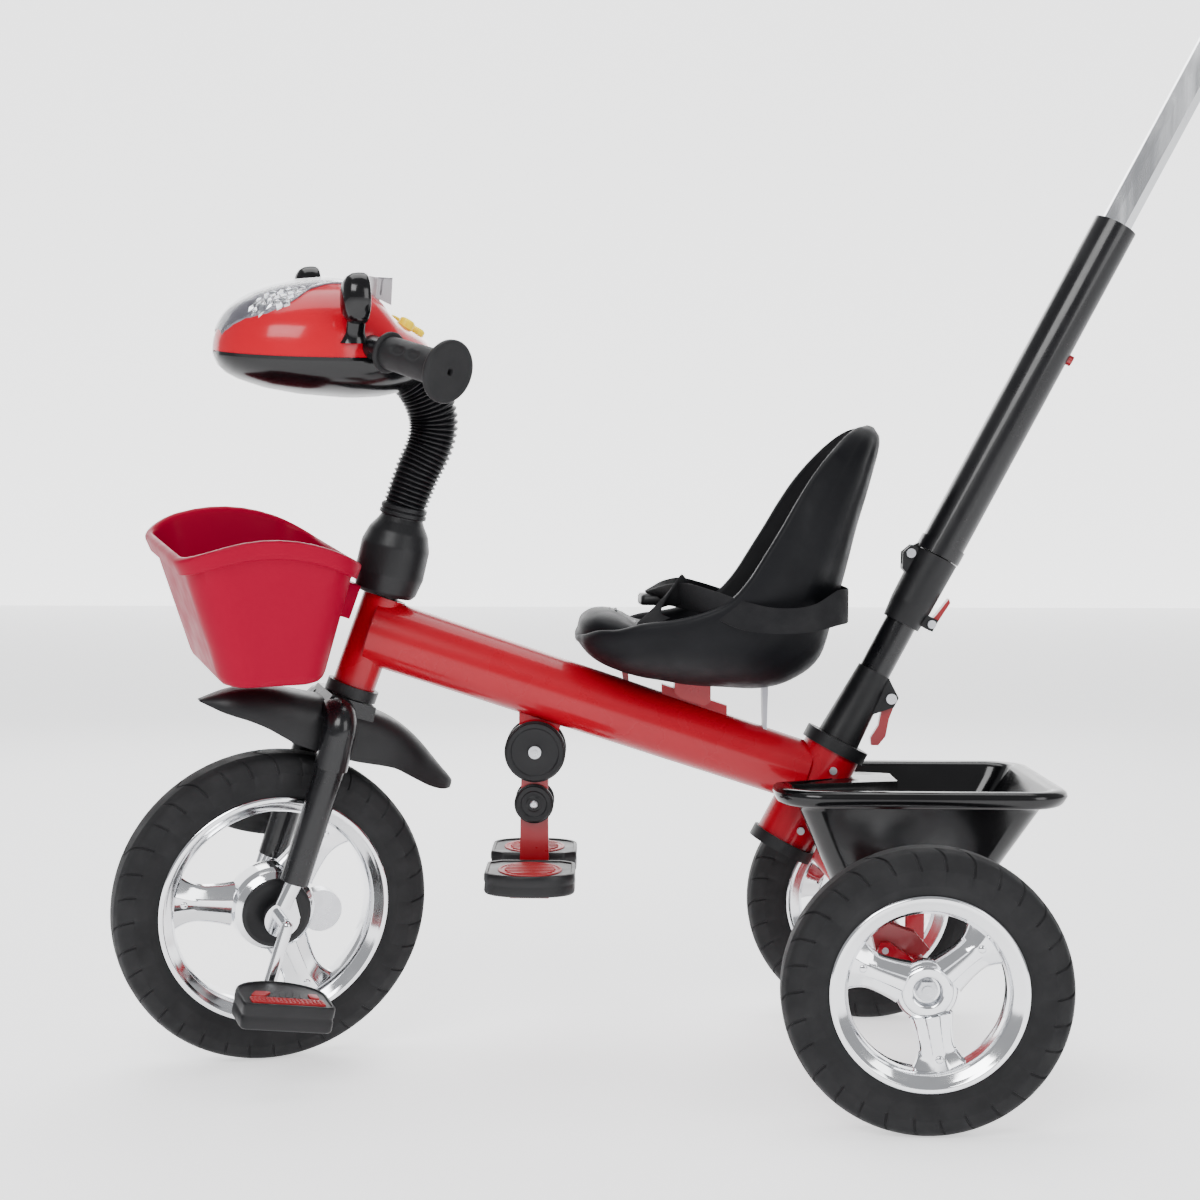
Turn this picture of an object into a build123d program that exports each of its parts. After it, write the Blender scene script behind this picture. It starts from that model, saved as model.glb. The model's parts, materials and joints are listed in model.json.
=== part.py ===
"""Children's push-along tricycle, built as separate pieces.

Millimetres. +X is forward, +Y is the rider's left, +Z is up, and the wheels stand on Z = 0.
While it is modelled, X = 0 is the rear axle. At the end everything moves along X so that
the origin is at the bottom centre of the whole tricycle.
The front end is modelled pointing straight ahead, then turned about the steering axis.
"""
from build123d import *
from math import atan2, cos, radians, sin, sqrt, tan
import os

# ---- wheels
REAR_R = 125.0
REAR_LIP_R = 85.0
REAR_Y = 205.0
FRONT_R = 154.0
FRONT_LIP_R = 113.0
FRONT_X = 599.6
TYRE_W = 45.0
LIP_HALF = 20.0
AXLE_R = 5.0
RUN = 0.05

# ---- steering axis: leans back going up
RAKE = 19.8
STEER = 24.0
HEAD_X, HEAD_Z = 502.4, 410.6
HEAD_R = 21.0
HEAD_HALF = 45.0
STEERER_R = 12.7
LEG_Y = 44.0
LEG_R = 16.0
SLEEVE_R = 14.0

# ---- crank and pedals
CRANK_R = 60.0
CRANK_ANGLE = -72.0
SHAFT_R = 6.0
SPINDLE_R = 5.0
PEDAL_Y1 = 140.0
PEDAL_LENGTH = 87.0
PEDAL_T = 26.0

# ---- rear column and push bar: one common axis
COLUMN_X, COLUMN_Z = 55.9, 313.9
COLUMN_LEAN = 27.7
COLUMN_LENGTH = 110.6
COLUMN_R = 28.0
COLLAR_R = 31.5
WALL = 2.0
BAR_R = 15.0
SOCKET_R = 19.0
SLEEVE_TUBE_R = 20.5
CHROME_R = 14.6
SLEEVE_START, SLEEVE_END = 203.0, 551.0
CHROME_START = 403.0
BUTTON_S = 421.0
HANDLE_S = 820.0
HANDLE_HALF = 105.0

# ---- main tube
TUBE_R0, TUBE_R1 = 33.0, 29.0

# ---- handlebar
BAR_TUBE_R = 11.0
GRIP_END_Y = 168.0
GRIP_LENGTH = 83.0
SWEEP = 25.4
BAR_A, BAR_H = 119.0, 261.4
BAR_END_A = 71.3
HOSE_R = 20.0

# ---- console on the handlebar: centre, half length, half width, height above and below its seam
POD_X, POD_Z = 550.0, 686.5
POD_A, POD_W, POD_UP, POD_DOWN = 102.0, 78.0, 62.0, 43.0

# ---- rear tub
TUB_Z0, TUB_Z1 = 170.0, 276.0

# ---- folding footrest
FOOT_X, FOOT_Z = 342.4, 306.0
FOOT_LINK = 50.0

# ---- parking brakes
BRAKE_Y = 150.5

C3 = (Align.CENTER, Align.CENTER, Align.MIN)
nodes = {}


def at(x, z, y=0.0):
    """A point given by its side view place first."""
    return Vector(x, y, z)


def rod(p, q, r, bore=0.0):
    """Round bar or tube from p to q."""
    p, q = Vector(p), Vector(q)
    plane = Plane(origin=p, z_dir=q - p)
    solid = plane * Cylinder(r, (q - p).length, align=C3)
    if bore:
        solid -= plane * Cylinder(bore, (q - p).length, align=C3)
    return solid


def cone(p, q, r0, r1):
    """Tapered round bar from p to q."""
    p, q = Vector(p), Vector(q)
    return Plane(origin=p, z_dir=q - p) * Cone(r0, r1, (q - p).length, align=C3)


def slab(points, half_width, y=0.0):
    """Side outline of (x, z) points, as thick as 2 * half_width about y."""
    face = Plane.XZ.offset(-y) * make_face(Polyline(*points, close=True))
    return extrude(face, half_width, both=True)


def plan(points, z0, z1):
    """Top outline of (x, y) points between two heights."""
    return Pos(0, 0, z0) * extrude(make_face(Polyline(*points, close=True)), z1 - z0)


def turned(points):
    """Solid of revolution about the Y axis from (y, radius) points."""
    return revolve(Plane.YZ * make_face(Polyline(*points, close=True)), Axis.Y)


def disc(y0, y1, r, bore=0.0):
    """Disc or ring about the Y axis."""
    return rod((0, y0, 0), (0, y1, 0), r, bore)


def swept(points, radii, r, bore=0.0):
    """Round tube along straight runs joined by arcs."""
    path = FilletPolyline(*points, radius=radii)
    start = Plane(origin=path @ 0, z_dir=path % 0)
    section = start * Circle(r)
    if bore:
        section -= start * Circle(bore)
    return sweep(section, path=path)


def mirrored(shape):
    """The same piece on the other side."""
    return mirror(shape, about=Plane.XZ)


def both(shape):
    """A piece and its mirror image in one node."""
    return Compound([shape.solid(), mirrored(shape).solid()])


def group(*shapes):
    """Several separate solids in one node."""
    return Compound([s for shape in shapes for s in shape.solids()])


# ---------------------------------------------------------------- wheels
def rim(lip_r, hub_r, hub_y0, hub_y1, bore, spoke_angle, spoke_w):
    """Plastic rim with a deep lip each side, a hub and three flared spokes."""
    b = LIP_HALF
    ring = turned([
        (-b, lip_r), (3 - b, lip_r), (5 - b, lip_r - 5), (b - 5, lip_r - 5), (b - 3, lip_r),
        (b, lip_r), (b, lip_r - 3), (b - 9, lip_r - 17), (9 - b, lip_r - 17), (-b, lip_r - 3)])
    hub = disc(hub_y0, hub_y1, hub_r)
    root, tip = hub_r - 3, lip_r - 14
    half, flare = spoke_w / 2, spoke_w * 0.85
    outline = make_face([
        Polyline((root, -half), (root, half)),
        ThreePointArc((root, half), ((root + tip) / 2, half * 0.95), (tip, flare)),
        Polyline((tip, flare), (tip, -flare)),
        ThreePointArc((tip, -flare), ((root + tip) / 2, -half * 0.95), (root, -half))])
    spoke = extrude(Plane.XZ * outline, 8, both=True)
    for i in range(3):
        hub += spoke.rotate(Axis.Y, -(spoke_angle + 120 * i))
    return (ring + hub) - disc(-60, 60, bore)


def tyre(r_out, lip_r):
    """Foam tyre seated on the rim between and outside its lips."""
    half = TYRE_W / 2
    inner = lip_r - 5
    section = Plane.YZ * Pos(0, (r_out + inner) / 2) * Rectangle(TYRE_W, r_out - inner)
    corners = section.vertices().sort_by(Axis.Z)[-2:]
    solid = revolve(fillet(corners, 15), Axis.Y)
    solid -= turned([(-half, inner - 1), (-half, lip_r), (3 - LIP_HALF, lip_r), (5 - LIP_HALF, inner),
                     (LIP_HALF - 5, inner), (LIP_HALF - 3, lip_r), (half, lip_r), (half, inner - 1)])
    return solid


def rear_wheels():
    """One wheel each side: a tyre and a rim whose hub has a recess for the nut."""
    recess = disc(-1, 9, 12)
    wheel_tyre = tyre(REAR_R, REAR_LIP_R)
    wheel_rim = rim(REAR_LIP_R, 24, -24, 8.5, AXLE_R + RUN, 20, 30) - recess
    for side, name in ((1, "left"), (-1, "right")):
        for label, shape in (("tyre", wheel_tyre), ("rim", wheel_rim)):
            placed = Pos(0, REAR_Y, REAR_R) * shape
            nodes[f"rear_{label}_{name}"] = placed if side > 0 else mirrored(placed)


def nut(y, across, thick, bore):
    """Hexagon nut about an axis along Y, starting at y."""
    face = Plane.XZ.offset(-y) * (RegularPolygon(across / sqrt(3), 6) - Circle(bore))
    return extrude(face, -thick)


def rear_axle():
    """Fixed steel axle in its tube housing, the bearing rings, washers and nuts."""
    housing_half = REAR_Y - 24 - 2.5
    beam = disc(-housing_half, housing_half, 14, 10)
    strut = rod(at(84, 104), at(-6, -6), 12)
    strut -= disc(-30, 30, 14)
    column_side = Pos(0, 0, -REAR_R) * rod(column(-140), column(20), COLLAR_R)
    beam += strut - column_side
    rest = Pos(-12, 55, 29) * Box(16, 12, 32) - disc(0, 100, 12)
    beam = Pos(0, 0, REAR_R) * (beam + rest + mirrored(rest))
    tab = slab([(-4, 136), (12, 125), (38, 146), (34, 157), (26, 157)], 3, BRAKE_Y + 12.5)
    tab -= disc(100, 200, 12).moved(Pos(0, 0, REAR_R))
    tab -= brake_pin(0.0)
    nodes["rear_axle_housing"] = beam + tab + mirrored(tab)
    nodes["rear_axle_rod"] = Pos(0, 0, REAR_R) * disc(-(REAR_Y + 8), REAR_Y + 8, AXLE_R)
    bush = Pos(0, 0, REAR_R) * disc(housing_half - 12, housing_half, 10, AXLE_R)
    lower = rod(steer_point(0, -HEAD_HALF), steer_point(0, -HEAD_HALF + 12), HEAD_R - 3, STEERER_R + RUN)
    upper = rod(steer_point(0, HEAD_HALF - 12), steer_point(0, HEAD_HALF), HEAD_R - 3, STEERER_R + RUN)
    seal = rod(steer_point(0, -HEAD_HALF), steer_point(0, -HEAD_HALF - 11), 25.5, STEERER_R + 0.4)
    nodes["bearing_rings"] = group(both(bush), lower, upper, seal)
    inner = disc(housing_half, housing_half + 2, 11, AXLE_R)
    outer = disc(REAR_Y - 0.5, REAR_Y + 1, 9.5, AXLE_R)
    nuts = both(nut(REAR_Y + 1, 16, 5.5, AXLE_R))
    nodes["axle_nuts_and_washers"] = Pos(0, 0, REAR_R) * group(both(inner), both(outer), nuts)


# ---------------------------------------------------------------- frame
LEAN_S, LEAN_C = sin(radians(COLUMN_LEAN)), cos(radians(COLUMN_LEAN))


def column(s, forward=0.0, y=0.0):
    """Point s along the column axis from its top collar, and so far forward of it."""
    return at(COLUMN_X - s * LEAN_S + forward * LEAN_C, COLUMN_Z + s * LEAN_C + forward * LEAN_S, y)


def frame_tubes():
    """Head tube, tapered main tube and two-ended rear column, welded in a row."""
    head_outer = rod(steer_point(0, -HEAD_HALF), steer_point(0, HEAD_HALF), HEAD_R)
    head_tube = rod(steer_point(0, -HEAD_HALF), steer_point(0, HEAD_HALF), HEAD_R, HEAD_R - 3)
    column_outer = rod(column(-COLUMN_LENGTH), column(0), COLUMN_R)
    tube = cone(at(HEAD_X - 3, 421), at(85, 286), TUBE_R0, TUBE_R1)
    tube -= cone(at(HEAD_X - 3, 421), at(85, 286), TUBE_R0 - WALL, TUBE_R1 - WALL)
    tube -= head_outer
    tube -= column_outer
    main_tube = biggest(tube)
    shell = rod(column(-COLUMN_LENGTH), column(0), COLUMN_R, COLUMN_R - 2.5)
    nodes["main_frame"] = head_tube + main_tube + shell
    upper = rod(column(-7), column(0), COLLAR_R, COLUMN_R)
    upper += rod(column(0), column(5), COLLAR_R, SOCKET_R + 1.5)
    upper -= main_tube
    lower = rod(column(7 - COLUMN_LENGTH), column(-COLUMN_LENGTH), COLLAR_R, COLUMN_R)
    lower += rod(column(-COLUMN_LENGTH), column(-COLUMN_LENGTH - 4), COLLAR_R)
    nodes["column_collars"] = group(upper, lower)


def frame_screws():
    """Every screw, pin and pivot bolt that stays on the frame."""
    screws = []
    for s in (-23, 23 - COLUMN_LENGTH):
        for side in (1, -1):
            screw = rod(column(s, -6, side * (COLUMN_R - 3)), column(s, -6, side * (COLUMN_R + 2)), 3.6)
            screws.append(screw - rod(column(-COLUMN_LENGTH), column(0), COLUMN_R))
    screws.append(bolt(column(62, -25), 3.0, 9, 5))
    screws.append(bolt(column(192.4, 24), 3.0, 8.2, 4.4))
    screws.append(bolt(column(142, -25), 2.2, 9.2, 4))
    screws.append(bolt(at(FOOT_X, FOOT_Z), 4.0, 23, 6))
    screws += [brake_pin(0.0), mirrored(brake_pin(0.0))]
    nodes["frame_screws_and_bolts"] = group(*screws)


def bolt(centre, r, half, head_r):
    """Pivot bolt across the tricycle with a round head at each end."""
    shank = rod(centre - Vector(0, half, 0), centre + Vector(0, half, 0), r)
    for side in (1, -1):
        shank += rod(centre + Vector(0, side * half, 0), centre + Vector(0, side * (half + 3), 0), head_r)
    return shank


def brake_pin(clear):
    """Pin of the left brake pedal."""
    return rod(at(30, 150, BRAKE_Y - 10.5), at(30, 150, BRAKE_Y + 15.5), 3.0 + clear)


def biggest(shape):
    """The main solid left after a cut."""
    return shape.solids().sort_by(SortBy.VOLUME)[-1]


def tub_level(z, grow):
    """Level section of the rear tub, which widens towards its rim."""
    rise = (z - TUB_Z0) / (TUB_Z1 - TUB_Z0)
    length = 118 + 114 * rise + 2 * grow
    width = 150 + 62 * rise + 2 * grow
    return Pos(-3 - 9 * rise, 0, z) * RectangleRounded(length, width, 20 + grow + 4 * rise)


def rear_basket():
    """Tub between the rear wheels, with a thick rim and a notch round the column."""
    notch = [(2, 330), (10, 150), (150, 150), (150, 330)]
    notch_room = [(-1, 330), (7, 150), (150, 150), (150, 330)]
    outer = loft([tub_level(TUB_Z0, 0), tub_level(TUB_Z1, 0)]) - slab(notch, 42)
    cavity = loft([tub_level(TUB_Z0 + 3, -3), tub_level(TUB_Z1 + 24, -3)])
    band = Pos(-9, 0, 268) * extrude(RectangleRounded(264, 232, 30), 15)
    band -= cavity
    band -= slab([(60, 240), (60, 300), (140, 300), (140, 240)], 36)
    nodes["rear_basket"] = biggest(outer - (cavity - slab(notch_room, 45)) + band)


def seat_supports():
    """Welded slide rail on top of the main tube."""
    block = slab([(222, 370.2), (160, 350.2), (160, 331), (222, 351)], 9)
    rail = block - cone(at(HEAD_X - 3, 421), at(85, 286), TUBE_R0, TUBE_R1)
    nodes["seat_rail"] = biggest(rail)


# ---------------------------------------------------------------- push bar
def column_slab(points, half_width):
    """Outline of (s, forward) points about the column axis, extruded along Y."""
    return slab([(column(s, f).X, column(s, f).Z) for s, f in points], half_width)


def push_bar_base():
    """Socket with its guide inside the column, the latch lever and the fixed lower tube."""
    nodes["push_bar_lower_tube"] = rod(column(-90), column(150), BAR_R, BAR_R - 2)
    guide = rod(column(-90), column(0), COLUMN_R - 2.5, BAR_R)
    neck = rod(column(0), column(6), SOCKET_R + 1.5, BAR_R)
    socket = cone(column(6), column(78), SOCKET_R + 1.5, SOCKET_R - 2.5) - rod(column(0), column(80), BAR_R)
    lug = column_slab([(78, -14), (66, -31), (56, -31), (40, -16)], 9) - rod(column(0), column(90), BAR_R)
    lug -= column_slab([(90, -18.6), (90, -40), (30, -40), (30, -18.6)], 4.3)
    lug -= rod(column(62, -25, -12), column(62, -25, 12), 3.0)
    nodes["push_bar_socket"] = guide + neck + socket + lug
    lever = column_slab([(67, -26), (60, -31), (44, -33), (28, -38), (17, -36), (14, -30), (20, -26),
                         (34, -27), (46, -23.5), (66, -23.5)], 4)
    nodes["bar_latch_lever"] = lever - rod(column(62, -25, -12), column(62, -25, 12), 3.0 + RUN)


def fold_joint():
    """Clamp on the lower tube with ears for the fold hinge and for its latch lever."""
    clamp = cone(column(130), column(150), BAR_R + 3, BAR_R + 5)
    clamp += cone(column(150), column(201), BAR_R + 5, 21)
    clamp -= rod(column(120), column(150), BAR_R)
    hinge = (192.4, 24)
    ear = column_slab([(170, 8), (176, 24), (190, 31), (200, 27), (200, 8)], 8)
    ear -= rod(column(120), column(150), BAR_R)
    clamp += ear
    clamp -= column_slab([(180, 13), (180, 40), (204, 40), (204, 13)], 4.3)
    clamp -= rod(column(*hinge, -12), column(*hinge, 12), 3.0)
    latch = (142, -25)
    latch_ear = column_slab([(136, -14), (136, -29), (148, -29), (148, -14)], 9.2)
    latch_ear -= column_slab([(130, -20.8), (130, -40), (160, -40), (160, -20.8)], 6.3)
    latch_ear -= rod(column(120), column(150), BAR_R)
    latch_ear -= rod(column(*latch, -12), column(*latch, 12), 2.2)
    nodes["fold_clamp"] = biggest(clamp + latch_ear)
    lever = column_slab([(138.6, -23), (138.4, -26.4), (146, -29.5), (168, -31.5), (171, -28.5),
                         (152, -25.2), (145.5, -23.4)], 6)
    nodes["fold_latch_lever"] = lever - rod(column(*latch, -12), column(*latch, 12), 2.2 + RUN)


def push_bar_upper():
    """Folding sleeve with its hinge tongue, the height button, sliding tube and handle."""
    tongue = column_slab([(187, 20), (189, 28), (196, 28), (206, 21), (206, 10), (202, 10), (202, 18),
                          (190, 18)], 4)
    tongue -= rod(column(192.4, 24, -12), column(192.4, 24, 12), 3.0 + RUN)
    ring = rod(column(202), column(SLEEVE_START + 12), SLEEVE_TUBE_R + 1.5)
    sleeve = rod(column(SLEEVE_START), column(SLEEVE_END), SLEEVE_TUBE_R)
    whole = sleeve + ring + tongue - rod(column(200), column(SLEEVE_END), CHROME_R + 0.4)
    button_axis = (BUTTON_S, -14), (BUTTON_S, -30)
    nodes["push_bar_sleeve"] = whole - rod(column(*button_axis[0]), column(*button_axis[1]), 5.0 + RUN)
    nodes["height_button"] = rod(column(BUTTON_S, -CHROME_R - 2.6), column(BUTTON_S, -SLEEVE_TUBE_R - 4), 5.0)
    nodes["chrome_tube"] = octagon_tube(CHROME_START, HANDLE_S - 14)
    handle()


def octagon_tube(s0, s1):
    """Eight-sided hollow tube along the column axis."""
    plane = Plane(origin=column(s0), z_dir=column(s1) - column(s0), x_dir=(0, 1, 0))
    section = RegularPolygon(CHROME_R, 8, rotation=22.5) - RegularPolygon(CHROME_R - 1.6, 8, rotation=22.5)
    return extrude(plane * section, s1 - s0)


def handle():
    """T handle: a hub moulded round a cross tube, and two foam grips."""
    middle = column(HANDLE_S)
    tube_r = 9.0
    reach = Vector(0, HANDLE_HALF - 3, 0)
    cross = rod(middle - reach, middle + reach, tube_r, tube_r - 2)
    hub = rod(column(HANDLE_S - 46), column(HANDLE_S), CHROME_R + 3) + rod(
        middle + Vector(0, -20, 0), middle + Vector(0, 20, 0), 16.5)
    hub -= octagon_solid(HANDLE_S - 46, HANDLE_S - 14)
    hub -= rod(middle + Vector(0, -30, 0), middle + Vector(0, 30, 0), tube_r)
    nodes["handle_hub"] = hub + cross
    foam = rod(middle + Vector(0, 20.5, 0), middle + Vector(0, HANDLE_HALF, 0), 14.5)
    foam -= rod(middle + Vector(0, 0, 0), middle + Vector(0, HANDLE_HALF - 3, 0), tube_r)
    nodes["handle_grips"] = both(foam)


def octagon_solid(s0, s1):
    """Eight-sided bar the size of the chrome tube's outside."""
    plane = Plane(origin=column(s0), z_dir=column(s1) - column(s0), x_dir=(0, 1, 0))
    return extrude(plane * RegularPolygon(CHROME_R, 8, rotation=22.5), s1 - s0)


# ---------------------------------------------------------------- steering
RAKE_S, RAKE_C = sin(radians(RAKE)), cos(radians(RAKE))


def steer_point(a, h, y=0.0):
    """Point h up the steering axis and a forward of it, wheels straight ahead."""
    return at(HEAD_X + a * RAKE_C - h * RAKE_S, HEAD_Z + a * RAKE_S + h * RAKE_C, y)


def steer_slab(points, half_width, y=0.0):
    """Outline of (a, h) points about the steering axis, extruded along Y."""
    return slab([(steer_point(a, h).X, steer_point(a, h).Z) for a, h in points], half_width, y)


def fork():
    """Steerer, crown and two bent legs welded together, with chrome ends for the axle."""
    steerer = rod(steer_point(0, -70), steer_point(0, HEAD_HALF + 34), STEERER_R)
    crown = steer_slab([(-20, -57), (26, -57), (30, -70), (24, -88), (-14, -88), (-22, -70)], 27)
    leg = swept([steer_point(15, -72, 20), steer_point(15, -72, LEG_Y + 1), steer_point(9, -122, LEG_Y)],
                [16.5], LEG_R)
    sleeve = rod(steer_point(9.3, -119, LEG_Y), steer_point(5, -236.5, LEG_Y), SLEEVE_R)
    nodes["fork"] = steerer + crown + leg + mirrored(leg) + sleeve + mirrored(sleeve)
    eye = rod(at(FRONT_X, FRONT_R, LEG_Y - 3), at(FRONT_X, FRONT_R, LEG_Y + 3), 17)
    neck = rod(steer_point(5, -236.5, LEG_Y), steer_point(8, -262, LEG_Y), 8)
    flat = steer_slab([(14, -250), (13, -270), (-12, -268), (0, -250)], 3, LEG_Y)
    end = eye + neck + flat - rod(at(FRONT_X, FRONT_R, 20), at(FRONT_X, FRONT_R, 70), SHAFT_R + RUN)
    end -= sleeve
    nodes["fork_ends"] = both(end)
    return crown, leg


def fender(crown, leg):
    """Moustache-shaped mudguard: hollow beneath, with a saddle that passes under the crown."""
    top = [(140, -101), (120, -86), (96, -75), (50, -66), (10, -62), (-30, -62), (-58, -66), (-92, -84),
           (-127, -105)]
    low = [(-118, -110), (-98, -108), (-57, -99), (-18, -112), (45, -112), (84, -103), (118, -104)]

    def plan_of(shrink):
        tips = [(142, 5), (120, 21), (90, 30), (50, 34), (-50, 34), (-85, 28), (-112, 18), (-129, 5)]
        line = [steer_point(a, 0, y - shrink) for a, y in tips]
        line += [Vector(p.X, -p.Y, p.Z) for p in reversed(line)]
        return extrude(make_face(Polyline(*line, close=True)), amount=150, both=True)
    wall = 3.2
    envelope = steer_slab(top + low, 34) & plan_of(0)
    hollow = steer_slab([(a, h - wall) for a, h in top] + [(-127, -140), (140, -140)], 34) & plan_of(wall)
    saddle = steer_slab([(-36, -62), (-32, -62), (-32, -88.6), (40, -88.6), (40, -62), (44, -62),
                         (44, -92), (-36, -92)], 32) & envelope
    wheel_room = Pos(FRONT_X, 0, FRONT_R) * disc(-28, 28, FRONT_R + 4)
    body = envelope - hollow - wheel_room + saddle
    slots = rod(steer_point(15, -60, -70), steer_point(15, -60, 70), LEG_R + 0.4)
    slots += both(rod(steer_point(15, -60, LEG_Y + 1), steer_point(9, -124, LEG_Y), LEG_R + 0.4))
    body = body - slots - crown - leg - mirrored(leg)
    body -= rod(steer_point(0, -80), steer_point(0, -40), 26)
    nodes["front_fender"] = biggest(body)


def front_basket():
    """Tub with an arched rim and a moulded hook that rests against the stem cover."""
    def tub(grow, z0, z1):
        low = Pos(613, 0, z0) * RectangleRounded(96 + 2 * grow, 168 + 2 * grow, 26 + grow)
        high = Pos(618, 0, z1) * RectangleRounded(182 + 2 * grow, 216 + 2 * grow, 40 + grow)
        return loft([low, high])

    def above(drop):
        face = make_face([
            ThreePointArc((500, 470 - drop), (632, 529 - drop), (740, 478 - drop)),
            Polyline((740, 478 - drop), (740, 600), (500, 600), (500, 470 - drop))])
        return extrude(Plane.XZ * face, 150, both=True)
    walls = tub(0, 389, 540) - tub(-2.5, 391.5, 542.5)
    lip = (tub(6, 389, 540) - tub(-2, 389, 540)) - above(0)
    lip = lip - (tub(8, 380, 545) - above(4))
    skirt = (tub(6, 389, 540) - tub(3.5, 389, 540)) - above(0)
    skirt = skirt - (tub(8, 380, 545) - above(17))
    body = (walls - above(0)) + lip + skirt
    body -= steer_slab([(-60, -40), (26.5, -40), (26.5, 120), (-60, 120)], 45)
    hook = steer_slab([(29, 50), (60, 50), (60, 14), (29, 14)], 14) - tub(-1, 389, 540)
    hook -= stem_cover_blank(0.2)
    hook -= rod(steer_point(0, -60), steer_point(0, 50), HEAD_R + 1)
    nodes["front_basket"] = biggest(biggest(body) + hook)


STEM_PATH = [(0, 79), (12, 134), (13.6, 205), (56, 246), (98, 259)]


def stem_cover_blank(grow):
    """Solid outer shape of the bottle-shaped stem cover."""
    base, axis = stem_cover_axis()
    profile = [(0, 29), (12, 29), (13, 31), (50, 31), (66, 27.5), (74, 20), (76, 20.5), (85, 20.5)]
    points = [(0, 0)] + [(r + grow, s) for s, r in profile] + [(0, 85)]
    plane = Plane(origin=base, z_dir=axis, x_dir=(0, 1, 0))
    return plane * revolve(Plane.XZ * make_face(Polyline(*points, close=True)), Axis.Z)


def stem_cover_axis():
    """Foot of the stem cover and the way it leans."""
    base = steer_point(1.5, HEAD_HALF + 4.5)
    return base, (steer_point(12, 134) - base).normalized()


def stem_and_hose():
    """Bent handlebar stem with its clamp, bottle-shaped cover and corrugated hose over it."""
    pts = [steer_point(a, h) for a, h in STEM_PATH]
    clamp_bore = rod(steer_point(BAR_A, BAR_H, -18), steer_point(BAR_A, BAR_H, 18), BAR_TUBE_R)
    stem = swept(pts, [120, 60, 60], BAR_TUBE_R, BAR_TUBE_R - 2)
    stem -= rod(steer_point(0, 0), steer_point(0, HEAD_HALF + 34), STEERER_R)
    boss = rod(steer_point(96, 258.5), steer_point(BAR_A, BAR_H), BAR_TUBE_R + 2)
    stem += boss + rod(steer_point(BAR_A, BAR_H, -18), steer_point(BAR_A, BAR_H, 18), BAR_TUBE_R + 5)
    nodes["handlebar_stem"] = biggest(stem - clamp_bore)
    base, axis = stem_cover_axis()
    cover = stem_cover_blank(0)
    cover -= rod(base - axis * 10, base + axis * 38, 19)
    cover -= swept([steer_point(-4, 60)] + pts[:3], [90, 120], BAR_TUBE_R + 0.3)
    nodes["stem_cover"] = biggest(cover)
    hose_start = base + axis * 85
    hose = swept([hose_start] + pts[2:4], [60], HOSE_R, HOSE_R - 4)
    nodes["corrugated_hose"] = hose - rod(base, hose_start, 30)


def bar_points():
    """Corners and ends of the handlebar tube, from right to left."""
    drop = GRIP_END_Y - (BAR_A - BAR_END_A) / tan(radians(SWEEP))
    bend = steer_point(BAR_A, BAR_H, drop)
    end = steer_point(BAR_END_A, BAR_H, GRIP_END_Y)
    end -= (end - bend).normalized() * 4
    return [Vector(p.X, -p.Y, p.Z) for p in (end, bend)] + [bend, end]


def handlebar():
    """Cross tube swept back at both ends and two flanged grips."""
    points = bar_points()
    bend, inner_end = points[2:]
    out = (inner_end - bend).normalized()
    end = inner_end + out * 4
    nodes["handlebar_tube"] = swept(points, [40, 40], BAR_TUBE_R, BAR_TUBE_R - 2)
    start = end - out * GRIP_LENGTH
    grip = rod(start, start + out * 7, 19) + rod(start, end - out * 5, 15) + rod(end - out * 7, end, 29)
    grip -= rod(start - out * 5, inner_end, BAR_TUBE_R)
    nodes["handlebar_grips"] = both(grip)


def ellipsoid(x, y, z, grow=0.0):
    """Streamlined body of the handlebar console."""
    return Pos(POD_X, 0, POD_Z) * scale(Sphere(1), by=(x + grow, y + grow, z + grow))


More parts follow.
